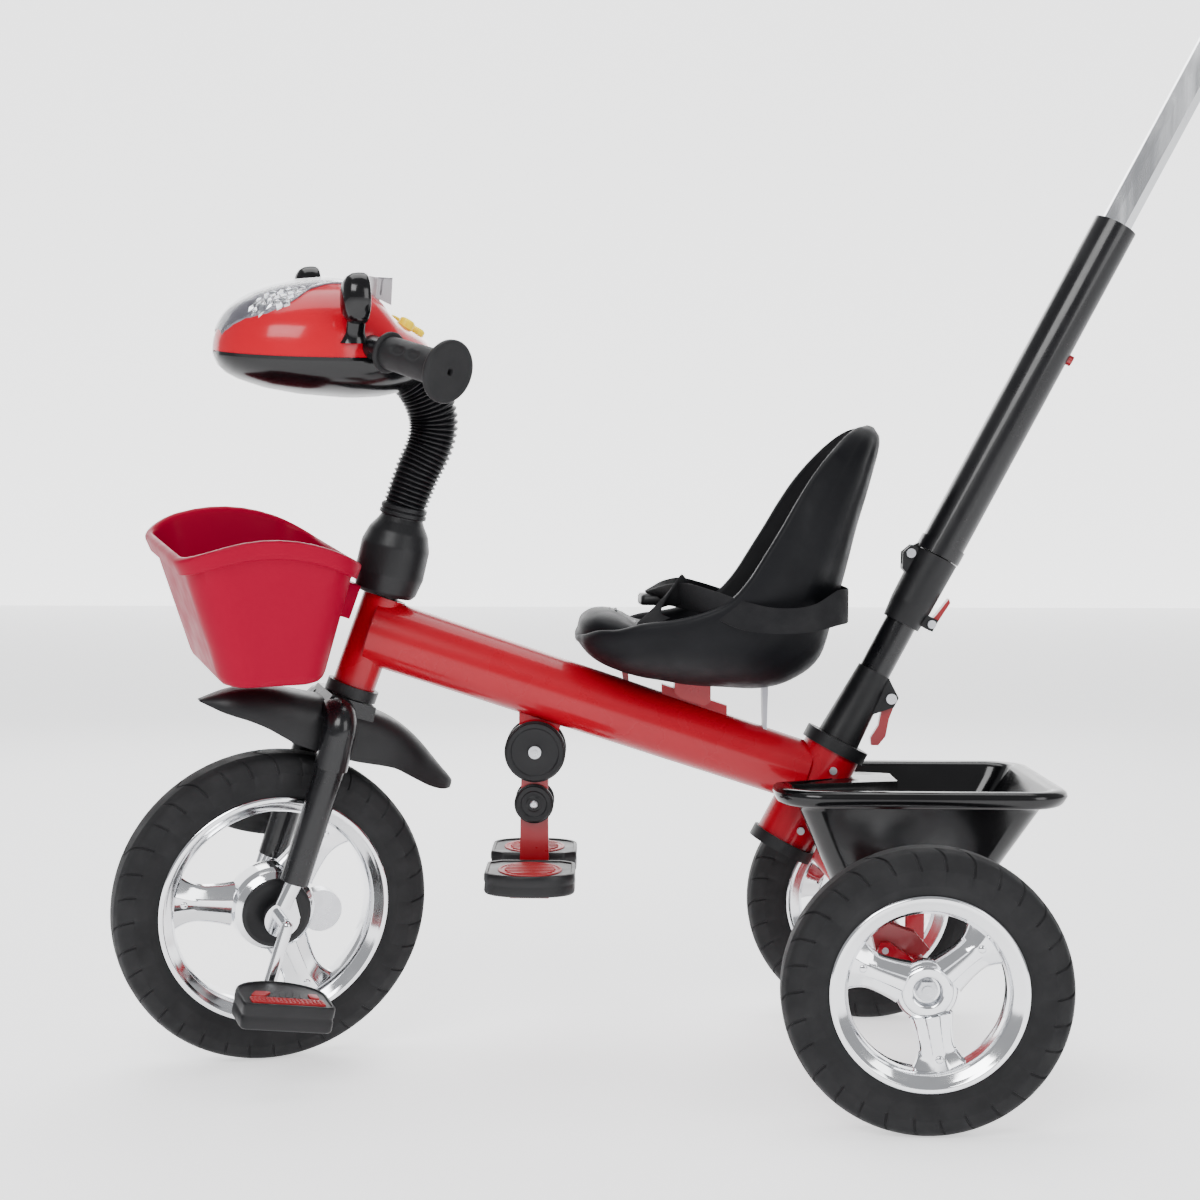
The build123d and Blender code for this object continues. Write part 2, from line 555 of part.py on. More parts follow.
def console():
    """Two-part console with clear canopy, lamps, mirrors, buttons and the works inside."""
    reach = 400
    upper_half = Pos(POD_X, 0, POD_Z + reach / 2) * Box(reach, reach, reach)
    lower_half = Pos(POD_X, 0, POD_Z - reach / 2) * Box(reach, reach, reach)
    wedge = slab([(430, 684), (508, 729), (508, 800), (430, 800)], 120)
    upper_outer = (ellipsoid(POD_A, POD_W, POD_UP) & upper_half) - wedge
    upper_inner = (ellipsoid(POD_A, POD_W, POD_UP, -2.5) & upper_half) - Pos(0, 0, -2.8) * wedge
    passages = swept(bar_points(), [40, 40], BAR_TUBE_R + 0.4)
    lamp_zone = both(Pos(590, 36, 728) * scale(Sphere(1), by=(26, 15, 22)))
    upper = upper_outer - upper_inner - passages
    skin = ellipsoid(POD_A, POD_W, POD_UP) - ellipsoid(POD_A, POD_W, POD_UP, -2.5)
    nodes["headlights"] = lamp_zone & skin & upper_half
    upper = upper - lamp_zone
    button_spots = [(476, 17), (476, -17), (461, 0)]
    slope = atan2(729 - 684, 508 - 430)
    normal = Vector(-sin(slope), 0, cos(slope))
    for i, (x, y) in enumerate(button_spots):
        spot = Vector(x, y, 684 + (x - 430) * tan(slope))
        upper -= rod(spot - normal * 6, spot + normal * 6, 6.4)
        nodes[f"horn_button_{i + 1}"] = rod(spot - normal * 4.5, spot + normal * 3.5, 6.0)
    nodes["console_upper_shell"] = biggest(upper)

    lower = (ellipsoid(POD_A, POD_W, POD_DOWN) - ellipsoid(POD_A, POD_W, POD_DOWN, -2.5)) & lower_half
    neck_pts = [steer_point(a, h) for a, h in STEM_PATH[1:]]
    lower -= swept(neck_pts, [60, 60], HOSE_R + 0.4)
    lower -= passages
    nodes["console_lower_shell"] = biggest(lower)

    clear = (ellipsoid(POD_A, POD_W, POD_UP, 2.2) - ellipsoid(POD_A, POD_W, POD_UP, 0.3))
    clear &= plan([(654, 0), (640, 26), (600, 52), (540, 44), (520, 20), (520, -20), (540, -44), (600, -52),
                   (640, -26)], 705, 800)
    fin = slab([(510, 744), (506, 756), (490, 756.5), (490, 736), (494, 730)], 22)
    fin -= slab([(504, 700), (507, 752), (493, 753), (493, 700)], 19.5)
    fin = biggest(fin - ellipsoid(POD_A, POD_W, POD_UP, 0.3) - clear)
    nodes["clear_canopy"] = group(biggest(clear), fin)

    inside_works()
    for side, name in ((1, "left"), (-1, "right")):
        mirror_set(side, name)


def inside_works():
    """Battery box, circuit board and speaker inside the console."""
    nodes["battery_box"] = Pos(585, 0, 668) * Box(44, 60, 20)
    board = Pos(543, 0, 716) * Box(34, 56, 1.6)
    speaker = Pos(592, 0, 694) * Cylinder(20, 10)
    nodes["sound_board_and_speaker"] = group(board, speaker)


def mirror_set(side, name):
    """Oval mirror on a short stalk."""
    oval = Plane.YZ * Ellipse(14, 22)
    housing = Pos(540.5, 84, 739.5) * fillet(extrude(oval, 7, both=True).edges(), 5.5)
    stalk = rod(at(540.5, 722, 82), at(540.5, 704, 76.5), 5.5)
    housing += stalk
    housing = biggest(housing - ellipsoid(POD_A, POD_W, POD_UP, 1.5))
    nodes[f"mirror_{name}"] = housing if side > 0 else mirrored(housing)


# ---------------------------------------------------------------- front wheel
def front_wheel():
    """Tyre, rim with a drum hub, black hub discs and the cranked axle with its clutch."""
    place = Pos(FRONT_X, 0, FRONT_R)
    nodes["front_tyre"] = place * tyre(FRONT_R, FRONT_LIP_R)
    discs = both(disc(24, 28, 34, SHAFT_R))
    drum_rim = rim(FRONT_LIP_R, 41, -24, 24, SHAFT_R, 7, 34)
    nodes["front_rim"] = place * (drum_rim + discs)
    angle = radians(CRANK_ANGLE)
    tip = Vector(CRANK_R * cos(angle), 0, CRANK_R * sin(angle))
    arm_y0, arm_y1 = LEG_Y + 21, LEG_Y + 24
    half = rod((0, 0, 0), (0, arm_y0, 0), SHAFT_R) + Pos(0, arm_y0, 0) * Sphere(SHAFT_R)
    half += rod((0, arm_y0, 0), (tip.X, arm_y1, tip.Z), SHAFT_R)
    half += Pos(tip.X, arm_y1, tip.Z) * Sphere(SHAFT_R)
    half += rod((tip.X, arm_y1, tip.Z), (tip.X, PEDAL_Y1 - 6, tip.Z), SPINDLE_R)
    nodes["crankshaft"] = place * (half + opposite(half))
    away = Vector(-54, 0, -16)
    seat_disc = Pos(away) * disc(-27, -13, 21)
    arm = rod((0, -19, 0), (away.X, -19, away.Z), 5)
    housing = seat_disc + arm - disc(-60, 60, 41) - Pos(away) * disc(-36, -19.5, 6.1)
    nodes["clutch_housing"] = place * biggest(housing)
    nodes["clutch_knob"] = place * (Pos(away) * disc(-29.2, -23, 6.0))


def opposite(shape):
    """The other crank half: mirrored to the far side and turned half a turn."""
    return mirror(shape, about=Plane.XZ).rotate(Axis.Y, 180)


def pedals():
    """Block pedals with a round inner side, each free on its own spindle."""
    angle = radians(CRANK_ANGLE)
    centre = at(FRONT_X + CRANK_R * cos(angle), FRONT_R + CRANK_R * sin(angle))
    half = PEDAL_LENGTH / 2
    outline = make_face([
        Polyline((-half, 30), (-half, 65), (half, 65), (half, 30)),
        ThreePointArc((half, 30), (0, 0), (-half, 30))])
    block = Pos(0, PEDAL_Y1 - 65, -PEDAL_T / 2) * extrude(outline, PEDAL_T)
    block -= disc(0, PEDAL_Y1 - 5.5, SPINDLE_R + RUN)
    block = block.rotate(Axis.Y, -10)
    nodes["pedal_left"] = Pos(centre) * block
    nodes["pedal_right"] = Pos(2 * FRONT_X - centre.X, 0, 2 * FRONT_R - centre.Z) * mirrored(block)


# ---------------------------------------------------------------- seat
def seat():
    """Bucket seat with a tall back, its slide block, catch, rear strut and lap belt."""
    side = [(301, 404), (277, 388), (235, 375.5), (179, 368), (123, 367), (95, 378), (76, 394),
            (66, 420), (54, 459), (40, 520), (22, 576), (16, 598), (20, 611), (30, 616), (50, 606),
            (74, 584), (99, 548), (124, 506), (152, 462), (175, 445), (210, 436), (248, 433),
            (270, 441), (284, 443), (298, 436), (303, 420)]
    inside = [(262, 440), (225, 404), (180, 388), (115, 388), (92, 402), (80, 440), (66, 490),
              (50, 550), (38, 596), (60, 640), (320, 640), (300, 470)]
    wide = [(306, 40), (290, 68), (250, 92), (180, 112), (90, 112), (50, 100), (10, 85)]
    front = [(0, 112), (430, 112), (470, 104), (530, 82), (580, 58), (606, 36), (618, 14)]

    def block(outline, shrink):
        top = [(x, max(w - shrink, 5)) for x, w in wide]
        top += [(x, -w) for x, w in reversed(top)]
        face = [(max(w - shrink, 5), z) for z, w in front]
        face += [(-w, z) for w, z in reversed(face)]
        across = extrude(Plane.YZ * make_face(Polyline(*face, close=True)), 400)
        return slab(outline, 130) & plan(top, 300, 700) & across
    shell = block(side, 0) - block(inside, 6)
    nodes["seat_shell"] = biggest(shell)
    foot_of_block = [(214, 370), (168, 366), (168, 352), (176, 350.5), (214, 362.8)]
    guide = slab([(p[0], p[1]) for p in foot_of_block], 19)
    rail_room = slab([(250, 380.5), (140, 345.1), (140, 320), (250, 350)], 9.4)
    tube_room = cone(at(HEAD_X - 3, 421), at(85, 286), TUBE_R0 + 0.6, TUBE_R1 + 0.6)
    guide = biggest(guide - block(side, 0) - rail_room - tube_room)
    strut = biggest(slab([(128, 372), (118, 372), (121, 322), (126, 322)], 11) - block(side, 0) - tube_room)
    catch = biggest(slab([(260, 385), (252, 381), (252, 360), (258, 360)], 4) - block(side, 0) - tube_room)
    nodes["seat_mount"] = group(guide, strut, catch)
    belt(block(side, -0.3))


def belt(room):
    """Webbing loop round the back of the shell and across the lap, joined by a buckle."""
    path = [(215, 60), (200, 90), (150, 117), (90, 117), (60, 106), (44, 60)]
    outer = path + [(x, -y) for x, y in reversed(path)]
    inner = [(x, y - 2) for x, y in path]
    inner += [(x, -y) for x, y in reversed(inner)]
    band = plan(outer, 424, 452) - plan(inner, 420, 460)
    nodes["lap_belt"] = biggest(band - room)


# ---------------------------------------------------------------- footrest
def footrest():
    """Bracket and disc covers under the main tube, two link arms, a strut and two foot pads."""
    pivot, knee = at(FOOT_X, FOOT_Z), at(FOOT_X + 1, FOOT_Z - FOOT_LINK)

    def pin_at(p, half, r):
        return rod(p + Vector(0, -half, 0), p + Vector(0, half, 0), r)
    tube = cone(at(HEAD_X - 3, 421), at(85, 286), TUBE_R0, TUBE_R1)
    bracket = slab([(314, 345), (358, 357), (358, 318), (352, 296), (332, 296), (322, 318)], 8) - tube
    nodes["footrest_bracket"] = biggest(bracket - pin_at(pivot, 30, 4.0))
    cover = rod(pivot + Vector(0, 14.3, 0), pivot + Vector(0, 23, 0), 29, 4.0)
    nodes["footrest_disc_covers"] = both(biggest(cover - tube))
    arm = slab([(pivot.X - 13, pivot.Z + 8), (pivot.X - 6, pivot.Z + 14), (pivot.X + 6, pivot.Z + 14),
                (pivot.X + 13, pivot.Z + 8), (knee.X + 13, knee.Z - 8), (knee.X + 6, knee.Z - 13),
                (knee.X - 6, knee.Z - 13), (knee.X - 13, knee.Z - 8)], 2.7, 11.2)
    arm -= pin_at(pivot, 40, 4.0 + RUN)
    arm -= pin_at(knee, 40, 4.0)
    knob = rod(knee + Vector(0, 13.9, 0), knee + Vector(0, 20, 0), 18.5, 4.0)
    nodes["footrest_link"] = group(both(arm), both(knob), bolt(knee, 4.0, 20, 6))
    strut = slab([(knee.X - 13, knee.Z + 8), (knee.X - 6, knee.Z + 13), (knee.X + 6, knee.Z + 13),
                  (knee.X + 13, knee.Z + 8), (knee.X + 14, 183), (knee.X - 14, 183)], 8)
    strut -= pin_at(knee, 30, 4.0 + RUN)
    bar = Pos(knee.X + 2, 0, 180.5) * Box(36, 170, 5)
    nodes["footrest_strut"] = strut + bar
    pad_outline = make_face([
        Polyline((-42, 30), (-42, 88)),
        ThreePointArc((-42, 88), (0, 112), (42, 88)),
        Polyline((42, 88), (42, 30), (30, 20), (-30, 20), (-42, 30))])
    pad = Pos(knee.X + 2, 0, 183) * extrude(pad_outline, 20)
    nodes["foot_pads"] = both(pad)


# ---------------------------------------------------------------- brakes
def brakes():
    """Parking brake pedal at each rear wheel, hinged on a pin in a tab of the axle housing."""
    lever = slab([(42, 170), (34, 176), (2, 164), (-10, 150), (-4, 146), (22, 143), (36, 143)], 9, BRAKE_Y)
    lever -= brake_pin(RUN)
    nodes["brake_pedal_left"] = lever
    nodes["brake_pedal_right"] = mirrored(lever)


FIXED = [
    "rear_tyre_left", "rear_rim_left", "rear_tyre_right", "rear_rim_right", "rear_axle_housing",
    "rear_axle_rod", "bearing_rings", "axle_nuts_and_washers", "main_frame", "column_collars",
    "frame_screws_and_bolts", "rear_basket", "seat_rail", "push_bar_lower_tube", "push_bar_socket",
    "bar_latch_lever", "fold_clamp", "fold_latch_lever", "push_bar_sleeve", "height_button",
    "chrome_tube", "handle_hub", "handle_grips", "seat_shell", "seat_mount", "lap_belt",
    "footrest_bracket", "footrest_disc_covers", "footrest_link", "footrest_strut", "foot_pads",
    "brake_pedal_left", "brake_pedal_right"]


def build():
    """Model every piece, turn the front end and centre the tricycle."""
    rear_wheels()
    rear_axle()
    frame_tubes()
    rear_basket()
    seat_supports()
    push_bar_base()
    fold_joint()
    push_bar_upper()
    frame_screws()
    crown, leg = fork()
    fender(crown, leg)
    front_basket()
    stem_and_hose()
    handlebar()
    console()
    front_wheel()
    pedals()
    seat()
    footrest()
    brakes()
    axis = Axis((HEAD_X, 0, HEAD_Z), (-RAKE_S, 0, RAKE_C))
    for name in nodes.keys() - set(FIXED):
        nodes[name] = nodes[name].rotate(axis, STEER)
    front = nodes["front_tyre"].bounding_box().max.X
    back = nodes["handle_grips"].bounding_box().min.X
    shift = -(front + back) / 2
    for name in nodes:
        nodes[name] = Pos(shift, 0, 0) * nodes[name]
    return shift


SHIFT = build()

if __name__ == "__main__":
    os.makedirs("parts", exist_ok=True)
    for node_name, shape in nodes.items():
        export_step(shape, f"parts/{node_name}.step")
    print("nodes", len(nodes), "origin shift", round(SHIFT, 2))
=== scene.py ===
import json
from itertools import product
from math import atan2, cos, hypot, pi, radians, sin, sqrt, tan
import bmesh
import bpy
import numpy as np
from mathutils import Matrix, Vector


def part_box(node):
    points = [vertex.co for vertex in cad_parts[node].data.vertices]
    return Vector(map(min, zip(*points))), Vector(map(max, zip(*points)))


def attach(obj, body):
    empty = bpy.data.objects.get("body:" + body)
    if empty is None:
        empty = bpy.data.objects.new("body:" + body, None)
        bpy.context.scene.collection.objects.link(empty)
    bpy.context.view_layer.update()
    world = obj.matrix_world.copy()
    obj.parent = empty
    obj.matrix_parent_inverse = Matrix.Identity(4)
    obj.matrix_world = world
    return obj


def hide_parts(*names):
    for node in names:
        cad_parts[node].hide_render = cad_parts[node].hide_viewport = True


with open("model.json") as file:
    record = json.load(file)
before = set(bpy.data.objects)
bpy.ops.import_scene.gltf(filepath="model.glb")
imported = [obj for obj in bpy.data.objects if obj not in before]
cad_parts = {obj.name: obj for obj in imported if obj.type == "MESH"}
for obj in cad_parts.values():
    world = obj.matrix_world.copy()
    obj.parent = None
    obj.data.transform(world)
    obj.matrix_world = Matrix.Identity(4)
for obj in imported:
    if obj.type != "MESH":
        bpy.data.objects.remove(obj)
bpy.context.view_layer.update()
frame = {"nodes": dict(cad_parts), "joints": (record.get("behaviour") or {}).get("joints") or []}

joints = {j["name"]: j for j in frame["joints"]}
MM = 0.001

# ---------------------------------------------------------------- shared places, all read from the frame
# Pieces are drawn in millimetres from the rear axle. FIXED takes them to their place, and FRONT_END does the
# same for the front end, which is drawn as if the wheel pointed straight ahead.
rear_axle = Vector(joints["rear_wheel_left_spin"]["pos_m"])
steer_axis = Vector(joints["steer"]["axis"])
steer_centre = Vector(joints["steer"]["pos_m"])
wheel_axis = Vector(joints["front_wheel_spin"]["axis"])
TURN = Vector((0, 1, 0)).angle(wheel_axis)
turn = Matrix.Rotation(TURN, 4, steer_axis)
AHEAD = Matrix.Translation(steer_centre) @ turn @ Matrix.Translation(-steer_centre)
ORIGIN_X = rear_axle.x
FIXED = Matrix.Translation(Vector((ORIGIN_X, 0, 0)))
FRONT_END = AHEAD @ FIXED
SIDES = ((1, "left"), (-1, "right"))


def fixed(x, z, y=0.0):
    return Vector((ORIGIN_X + x * MM, y * MM, z * MM))


RAKE_S, RAKE_C = -steer_axis.x, steer_axis.z
HEAD_X, HEAD_Z = (steer_centre.x - ORIGIN_X) / MM, steer_centre.z / MM


# ---------------------------------------------------------------- camera, light and floor
FLOOR_GLOW, WALL_GLOW = 0.92, 1.95


def added(thing):
    """Puts an object into the scene."""
    bpy.context.scene.collection.objects.link(thing)
    return thing


def set_inputs(node, values):
    """Sets a node's inputs from a name to value table."""
    for name, value in values.items():
        node.inputs[name].default_value = value


def make_camera():
    """The photo's view."""
    data = bpy.data.cameras.new("camera")
    data.sensor_width = 36.0
    data.lens = 61.7
    data.shift_x = 0.0783
    data.shift_y = 0.0082
    camera = added(bpy.data.objects.new("camera", data))
    yaw, pitch = radians(2.657), radians(2.942)
    camera.location = fixed(279.6, 541.5, 1966.0)
    look = Vector((sin(yaw) * cos(pitch), -cos(yaw) * cos(pitch), -sin(pitch)))
    camera.rotation_euler = look.to_track_quat("-Z", "Y").to_euler()
    bpy.context.scene.camera = camera


def area_light(name, place, target, size, power):
    """Soft rectangular light that looks at a target."""
    data = bpy.data.lights.new(name, "AREA")
    data.shape = "RECTANGLE"
    data.size, data.size_y = size
    data.energy = power
    light = added(bpy.data.objects.new(name, data))
    light.location = place
    light.rotation_euler = (Vector(target) - Vector(place)).to_track_quat("-Z", "Y").to_euler()


def stage_sheet(name, corners, material):
    """One flat four-cornered sheet of the studio."""
    mesh = bpy.data.meshes.new(name)
    mesh.from_pydata(corners, [], [(0, 1, 2, 3)])
    mesh.materials.append(material)
    return added(bpy.data.objects.new(name, mesh))


def make_studio():
    """Soft lights, a pale floor and a bright wall far behind the tricycle."""
    world = bpy.data.worlds.new("studio")
    world.use_nodes = True
    sky = {"Color": (0.96, 0.97, 1.0, 1.0), "Strength": 0.45}
    set_inputs(world.node_tree.nodes["Background"], sky)
    bpy.context.scene.world = world
    area_light("key", (0.9, 2.6, 2.2), (0.1, 0, 0.4), (1.8, 1.2), 70)
    area_light("fill", (-1.9, 2.0, 1.2), (0, 0, 0.4), (1.2, 1.6), 27)
    area_light("top", (0.2, -0.4, 3.0), (0.1, 0, 0.3), (2.6, 2.0), 68)
    area_light("rim", (0.4, -2.6, 1.6), (0.1, 0, 0.5), (2.4, 1.2), 30)
    half = 9.0
    floor = [(-half, -half, 0), (half, -half, 0), (half, half, 0), (-half, half, 0)]
    white = glowing("floor_white", (0.93, 0.93, 0.94), 0.8, FLOOR_GLOW)
    floor = stage_sheet("floor", floor, white)
    x, y, low, high = 14.0, -8.9, -0.1, 9.0
    wall = [(-x, y, low), (x, y, low), (x, y, high), (-x, y, high)]
    wall = stage_sheet("backdrop", wall, glowing("backdrop_glow", (0.9, 0.9, 0.9), 0.5, WALL_GLOW))


# ---------------------------------------------------------------- materials
def shader(name):
    """A new material with its node tree and Principled shader."""
    material = bpy.data.materials.new(name)
    material.use_nodes = True
    tree = material.node_tree
    return material, tree, tree.nodes["Principled BSDF"]


def glowing(name, colour, rough, glow):
    """Plain surface that also gives white light."""
    material, _, bsdf = shader(name)
    set_inputs(bsdf, {"Base Color": (*colour, 1), "Roughness": rough})
    set_inputs(bsdf, {"Emission Color": (1.0, 1.0, 1.0, 1), "Emission Strength": glow})
    return material


def dimmed(colour, share):
    return tuple(c * share for c in colour)


def noise_node(tree, scale, detail, rough, stretch):
    """Noise in object space, stretched if asked; its value from 0 to 1."""
    place = tree.nodes.new("ShaderNodeTexCoord").outputs["Object"]
    texture = tree.nodes.new("ShaderNodeTexNoise")
    set_inputs(texture, {"Scale": scale, "Detail": detail, "Roughness": rough})
    if stretch:
        mapping = tree.nodes.new("ShaderNodeMapping")
        mapping.inputs["Scale"].default_value = stretch
        tree.links.new(place, mapping.inputs["Vector"])
        place = mapping.outputs["Vector"]
    tree.links.new(place, texture.inputs["Vector"])
    return texture.outputs["Fac"]


def vary(tree, socket, low, high, scale, detail, rough=0.5, stretch=None):
    """Noise moves a socket between two values or colours."""
    node = tree.nodes.new("ShaderNodeValToRGB")
    for element, place, v in zip(node.color_ramp.elements, (0.35, 0.65), (low, high)):
        element.position = place
        element.color = (v, v, v, 1) if isinstance(v, float) else (*v, 1)
    tree.links.new(noise_node(tree, scale, detail, rough, stretch), node.inputs["Fac"])
    tree.links.new(node.outputs["Color"], socket)


def bump(tree, bsdf, strength, distance, scale, detail, rough=0.5, stretch=None):
    """Noise tilts the surface."""
    node = tree.nodes.new("ShaderNodeBump")
    set_inputs(node, {"Strength": strength, "Distance": distance})
    tree.links.new(noise_node(tree, scale, detail, rough, stretch), node.inputs["Height"])
    tree.links.new(node.outputs["Normal"], bsdf.inputs["Normal"])


def moulded(name, colour, rough, grain=0.12, grain_scale=900.0, spread=0.1, coat=0.0, shine=0.5):
    """Moulded plastic: fine grain, slow colour drift and patchy gloss."""
    material, tree, bsdf = shader(name)
    lighter = tuple(min(1, c * (1 + spread)) for c in colour)
    vary(tree, bsdf.inputs["Base Color"], dimmed(colour, 1 - spread), lighter, 9.0, 4.0)
    vary(tree, bsdf.inputs["Roughness"], rough * 0.85, rough * 1.15, 38.0, 5.0)
    bump(tree, bsdf, grain, 0.0004, grain_scale, 2.0)
    set_inputs(bsdf, {"Specular IOR Level": shine, "Coat Weight": coat, "Coat Roughness": 0.08})
    return material


def painted(name, colour, coat, shine):
    """Gloss paint over metal, with faint orange peel."""
    material, tree, bsdf = shader(name)
    vary(tree, bsdf.inputs["Base Color"], dimmed(colour, 0.9), colour, 6.0, 3.0)
    vary(tree, bsdf.inputs["Roughness"], 0.24, 0.34, 30.0, 4.0)
    bump(tree, bsdf, 0.015, 0.0005, 260.0, 2.0)
    set_inputs(bsdf, {"Specular IOR Level": shine, "Coat Weight": coat, "Coat Roughness": 0.06})
    return material


def metal(name, colour, rough, brushed=None):
    """Plated or plain metal with patchy gloss, brushed along a stretched noise if asked."""
    material, tree, bsdf = shader(name)
    bsdf.inputs["Metallic"].default_value = 1.0
    vary(tree, bsdf.inputs["Base Color"], dimmed(colour, 0.93), colour, 14.0, 3.0)
    vary(tree, bsdf.inputs["Roughness"], rough * 0.7, rough * 1.3, 60.0, 5.0, 0.6, brushed)
    bump(tree, bsdf, 0.02, 0.0005, 200.0, 3.0, 0.5, brushed)
    return material


def foam(name, colour, rough, scale=1500.0, strength=0.35):
    """Foamed rubber: matte, with pores and a faint sheen."""
    material, tree, bsdf = shader(name)
    vary(tree, bsdf.inputs["Base Color"], dimmed(colour, 0.8), colour, 12.0, 5.0)
    vary(tree, bsdf.inputs["Roughness"], rough * 0.9, min(1.0, rough * 1.1), 45.0, 4.0)
    bump(tree, bsdf, strength, 0.0004, scale, 3.0, 0.7)
    set_inputs(bsdf, {"Specular IOR Level": 0.3, "Sheen Weight": 0.02})
    return material


def clear(name, colour, rough, alpha):
    """Thin clear moulding."""
    material, tree, bsdf = shader(name)
    vary(tree, bsdf.inputs["Base Color"], dimmed(colour, 0.94), colour, 18.0, 2.0)
    set_inputs(bsdf, {"Roughness": rough, "Transmission Weight": 1.0, "IOR": 1.25, "Alpha": alpha})
    return material


make_camera()
make_studio()
RED_PAINT = painted("red_paint", (0.33, 0.0003, 0.010), 0.3, 0.2)
BLACK_PAINT = painted("black_paint", (0.004, 0.004, 0.005), 0.25, 0.3)
RED_PLASTIC = moulded("red_plastic", (0.26, 0.001, 0.007), 0.3, 0.05, 500.0, 0.08, 0.2)
CONSOLE_RED = moulded("console_red", (0.46, 0.0002, 0.013), 0.2, 0.0, 400.0, 0.03, 0.25, 0.2)
BASKET_RED = moulded("basket_red", (0.27, 0.0001, 0.020), 0.38, 0.0, 420.0, 0.02, 0.0, 0.05)
BLACK_PLASTIC = moulded("black_plastic", (0.006, 0.006, 0.007), 0.42, 0.22, 1100.0, 0.1, 0.0, 0.3)
SEAT_BLACK = moulded("seat_black", (0.0036, 0.0038, 0.005), 0.5, 0.22, 1300.0, 0.1, 0.0, 0.14)
BLACK_GLOSS = moulded("black_gloss", (0.003, 0.003, 0.0035), 0.16, 0.02, 300.0, 0.1, 0.0, 0.4)
TREAD_RED = moulded("tread_red", (0.34, 0.001, 0.006), 0.45, 0.2, 900.0, 0.1)
TRAY_GREY = moulded("tray_grey", (0.16, 0.15, 0.18), 0.25, 0.02, 500.0, 0.1)
SCREEN_GREY = moulded("screen_grey", (0.36, 0.36, 0.38), 0.22, 0.0, 500.0, 0.05)
# Pale grey as a painted highlight: the rear strut is red painted metal, and its whitish look is a reflection
# painted into its colour.
STRUT_PAINTED_HIGHLIGHT = moulded("strut_painted_highlight", (0.42, 0.42, 0.46), 0.4, 0.1, 800.0, 0.1)
HOSE_BLACK = moulded("hose_black", (0.004, 0.004, 0.005), 0.34, 0.05, 600.0, 0.1, 0.0, 0.35)
YELLOW = moulded("yellow_plastic", (1.0, 0.76, 0.0), 0.3, 0.0, 500.0, 0.03, 0.0, 0.2)
TYRE = foam("tyre_foam", (0.007, 0.007, 0.008), 0.72)
GRIP = foam("grip_foam", (0.008, 0.008, 0.009), 0.6, 1800.0, 0.3)
RIM = metal("rim_plating", (0.86, 0.87, 0.89), 0.10)
CHROME = metal("bright_chrome", (0.80, 0.81, 0.83), 0.08)
TUBE_CHROME = metal("tube_chrome", (0.74, 0.75, 0.77), 0.22, (1.0, 1.0, 0.03))
STEEL = metal("zinc_steel", (0.62, 0.63, 0.66), 0.3)
CANOPY = clear("canopy_clear", (0.55, 0.56, 0.60), 0.05, 0.55)
LAMP = clear("lamp_clear", (0.9, 0.93, 0.96), 0.08, 0.6)
BOARD = moulded("board_green", (0.01, 0.12, 0.04), 0.35)
WEBBING = moulded("black_webbing", (0.006, 0.006, 0.007), 0.7, 0.5, 600.0, 0.1, 0.0, 0.2)

NODE_MATERIALS = {
    RED_PAINT: ["main_frame", "rear_axle_housing", "seat_rail", "footrest_bracket"],
    BLACK_PAINT: ["fork", "push_bar_sleeve", "push_bar_lower_tube", "handlebar_tube"],
    RED_PLASTIC: ["seat_mount", "footrest_strut", "bar_latch_lever", "fold_latch_lever", "brake_pedal_left",
     "brake_pedal_right", "clutch_knob", "height_button"], CONSOLE_RED: ["console_upper_shell"],
    BASKET_RED: ["front_basket"], BLACK_PLASTIC: ["column_collars", "push_bar_socket", "fold_clamp",
     "footrest_disc_covers", "front_fender", "stem_cover", "corrugated_hose", "battery_box", "pedal_left",
     "pedal_right", "footrest_link", "foot_pads", "handle_hub", "mirror_left", "mirror_right",
     "bearing_rings"], SEAT_BLACK: ["seat_shell", "lap_belt"],
    BLACK_GLOSS: ["rear_basket", "console_lower_shell"],
    YELLOW: ["horn_button_1", "horn_button_2", "horn_button_3"],
    TYRE: ["front_tyre", "rear_tyre_left", "rear_tyre_right"], GRIP: ["handlebar_grips", "handle_grips"],
    RIM: ["front_rim", "rear_rim_left", "rear_rim_right"], CHROME: ["crankshaft", "fork_ends"],
    TUBE_CHROME: ["chrome_tube"], STEEL: ["clutch_housing", "rear_axle_rod", "axle_nuts_and_washers",
     "frame_screws_and_bolts", "handlebar_stem"], CANOPY: ["clear_canopy"], LAMP: ["headlights"],
    BOARD: ["sound_board_and_speaker"],}
for material, names in NODE_MATERIALS.items():
    for name in names:
        mesh = frame["nodes"][name].data
        mesh.materials.clear()
        mesh.materials.append(material)


# ---------------------------------------------------------------- mesh helpers
def add_piece(name, verts, faces, material, body, replaced=(), smooth_angle=40.0):
    """A mesh piece that rides on a body and stands for the CAD nodes it replaces."""
    mesh = bpy.data.meshes.new(name)
    mesh.from_pydata([tuple(v) for v in verts], [], faces)
    mesh.polygons.foreach_set("use_smooth", [True] * len(mesh.polygons))
    mesh.set_sharp_from_angle(angle=radians(smooth_angle))
    mesh.materials.append(material)
    piece = added(bpy.data.objects.new(name, mesh))
    recalc(mesh)
    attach(piece, body)
    if replaced:
        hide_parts(*replaced)
    return piece


def fixed_piece(name, part, material, body, replaced=(), angle=40.0):
    """A piece given in millimetres from the rear axle."""
    return add_piece(name, *placed(FIXED, part), material, body, replaced, angle)


def recalc(mesh):
    """Faces look outwards."""
    work = bmesh.new()
    work.from_mesh(mesh)
    bmesh.ops.recalc_face_normals(work, faces=work.faces)
    work.to_mesh(mesh)
    work.free()


def clamp(value, low=0.0, high=1.0):
    return max(low, min(high, value))


def read_off(table, x):
    """Value at x of a table of (x, value) pairs, straight between them."""
    return float(np.interp(x, *zip(*table)))


def flipped(points):
    """Mirror image across the middle plane."""
    return [Vector((p.x, -p.y, p.z)) for p in points]


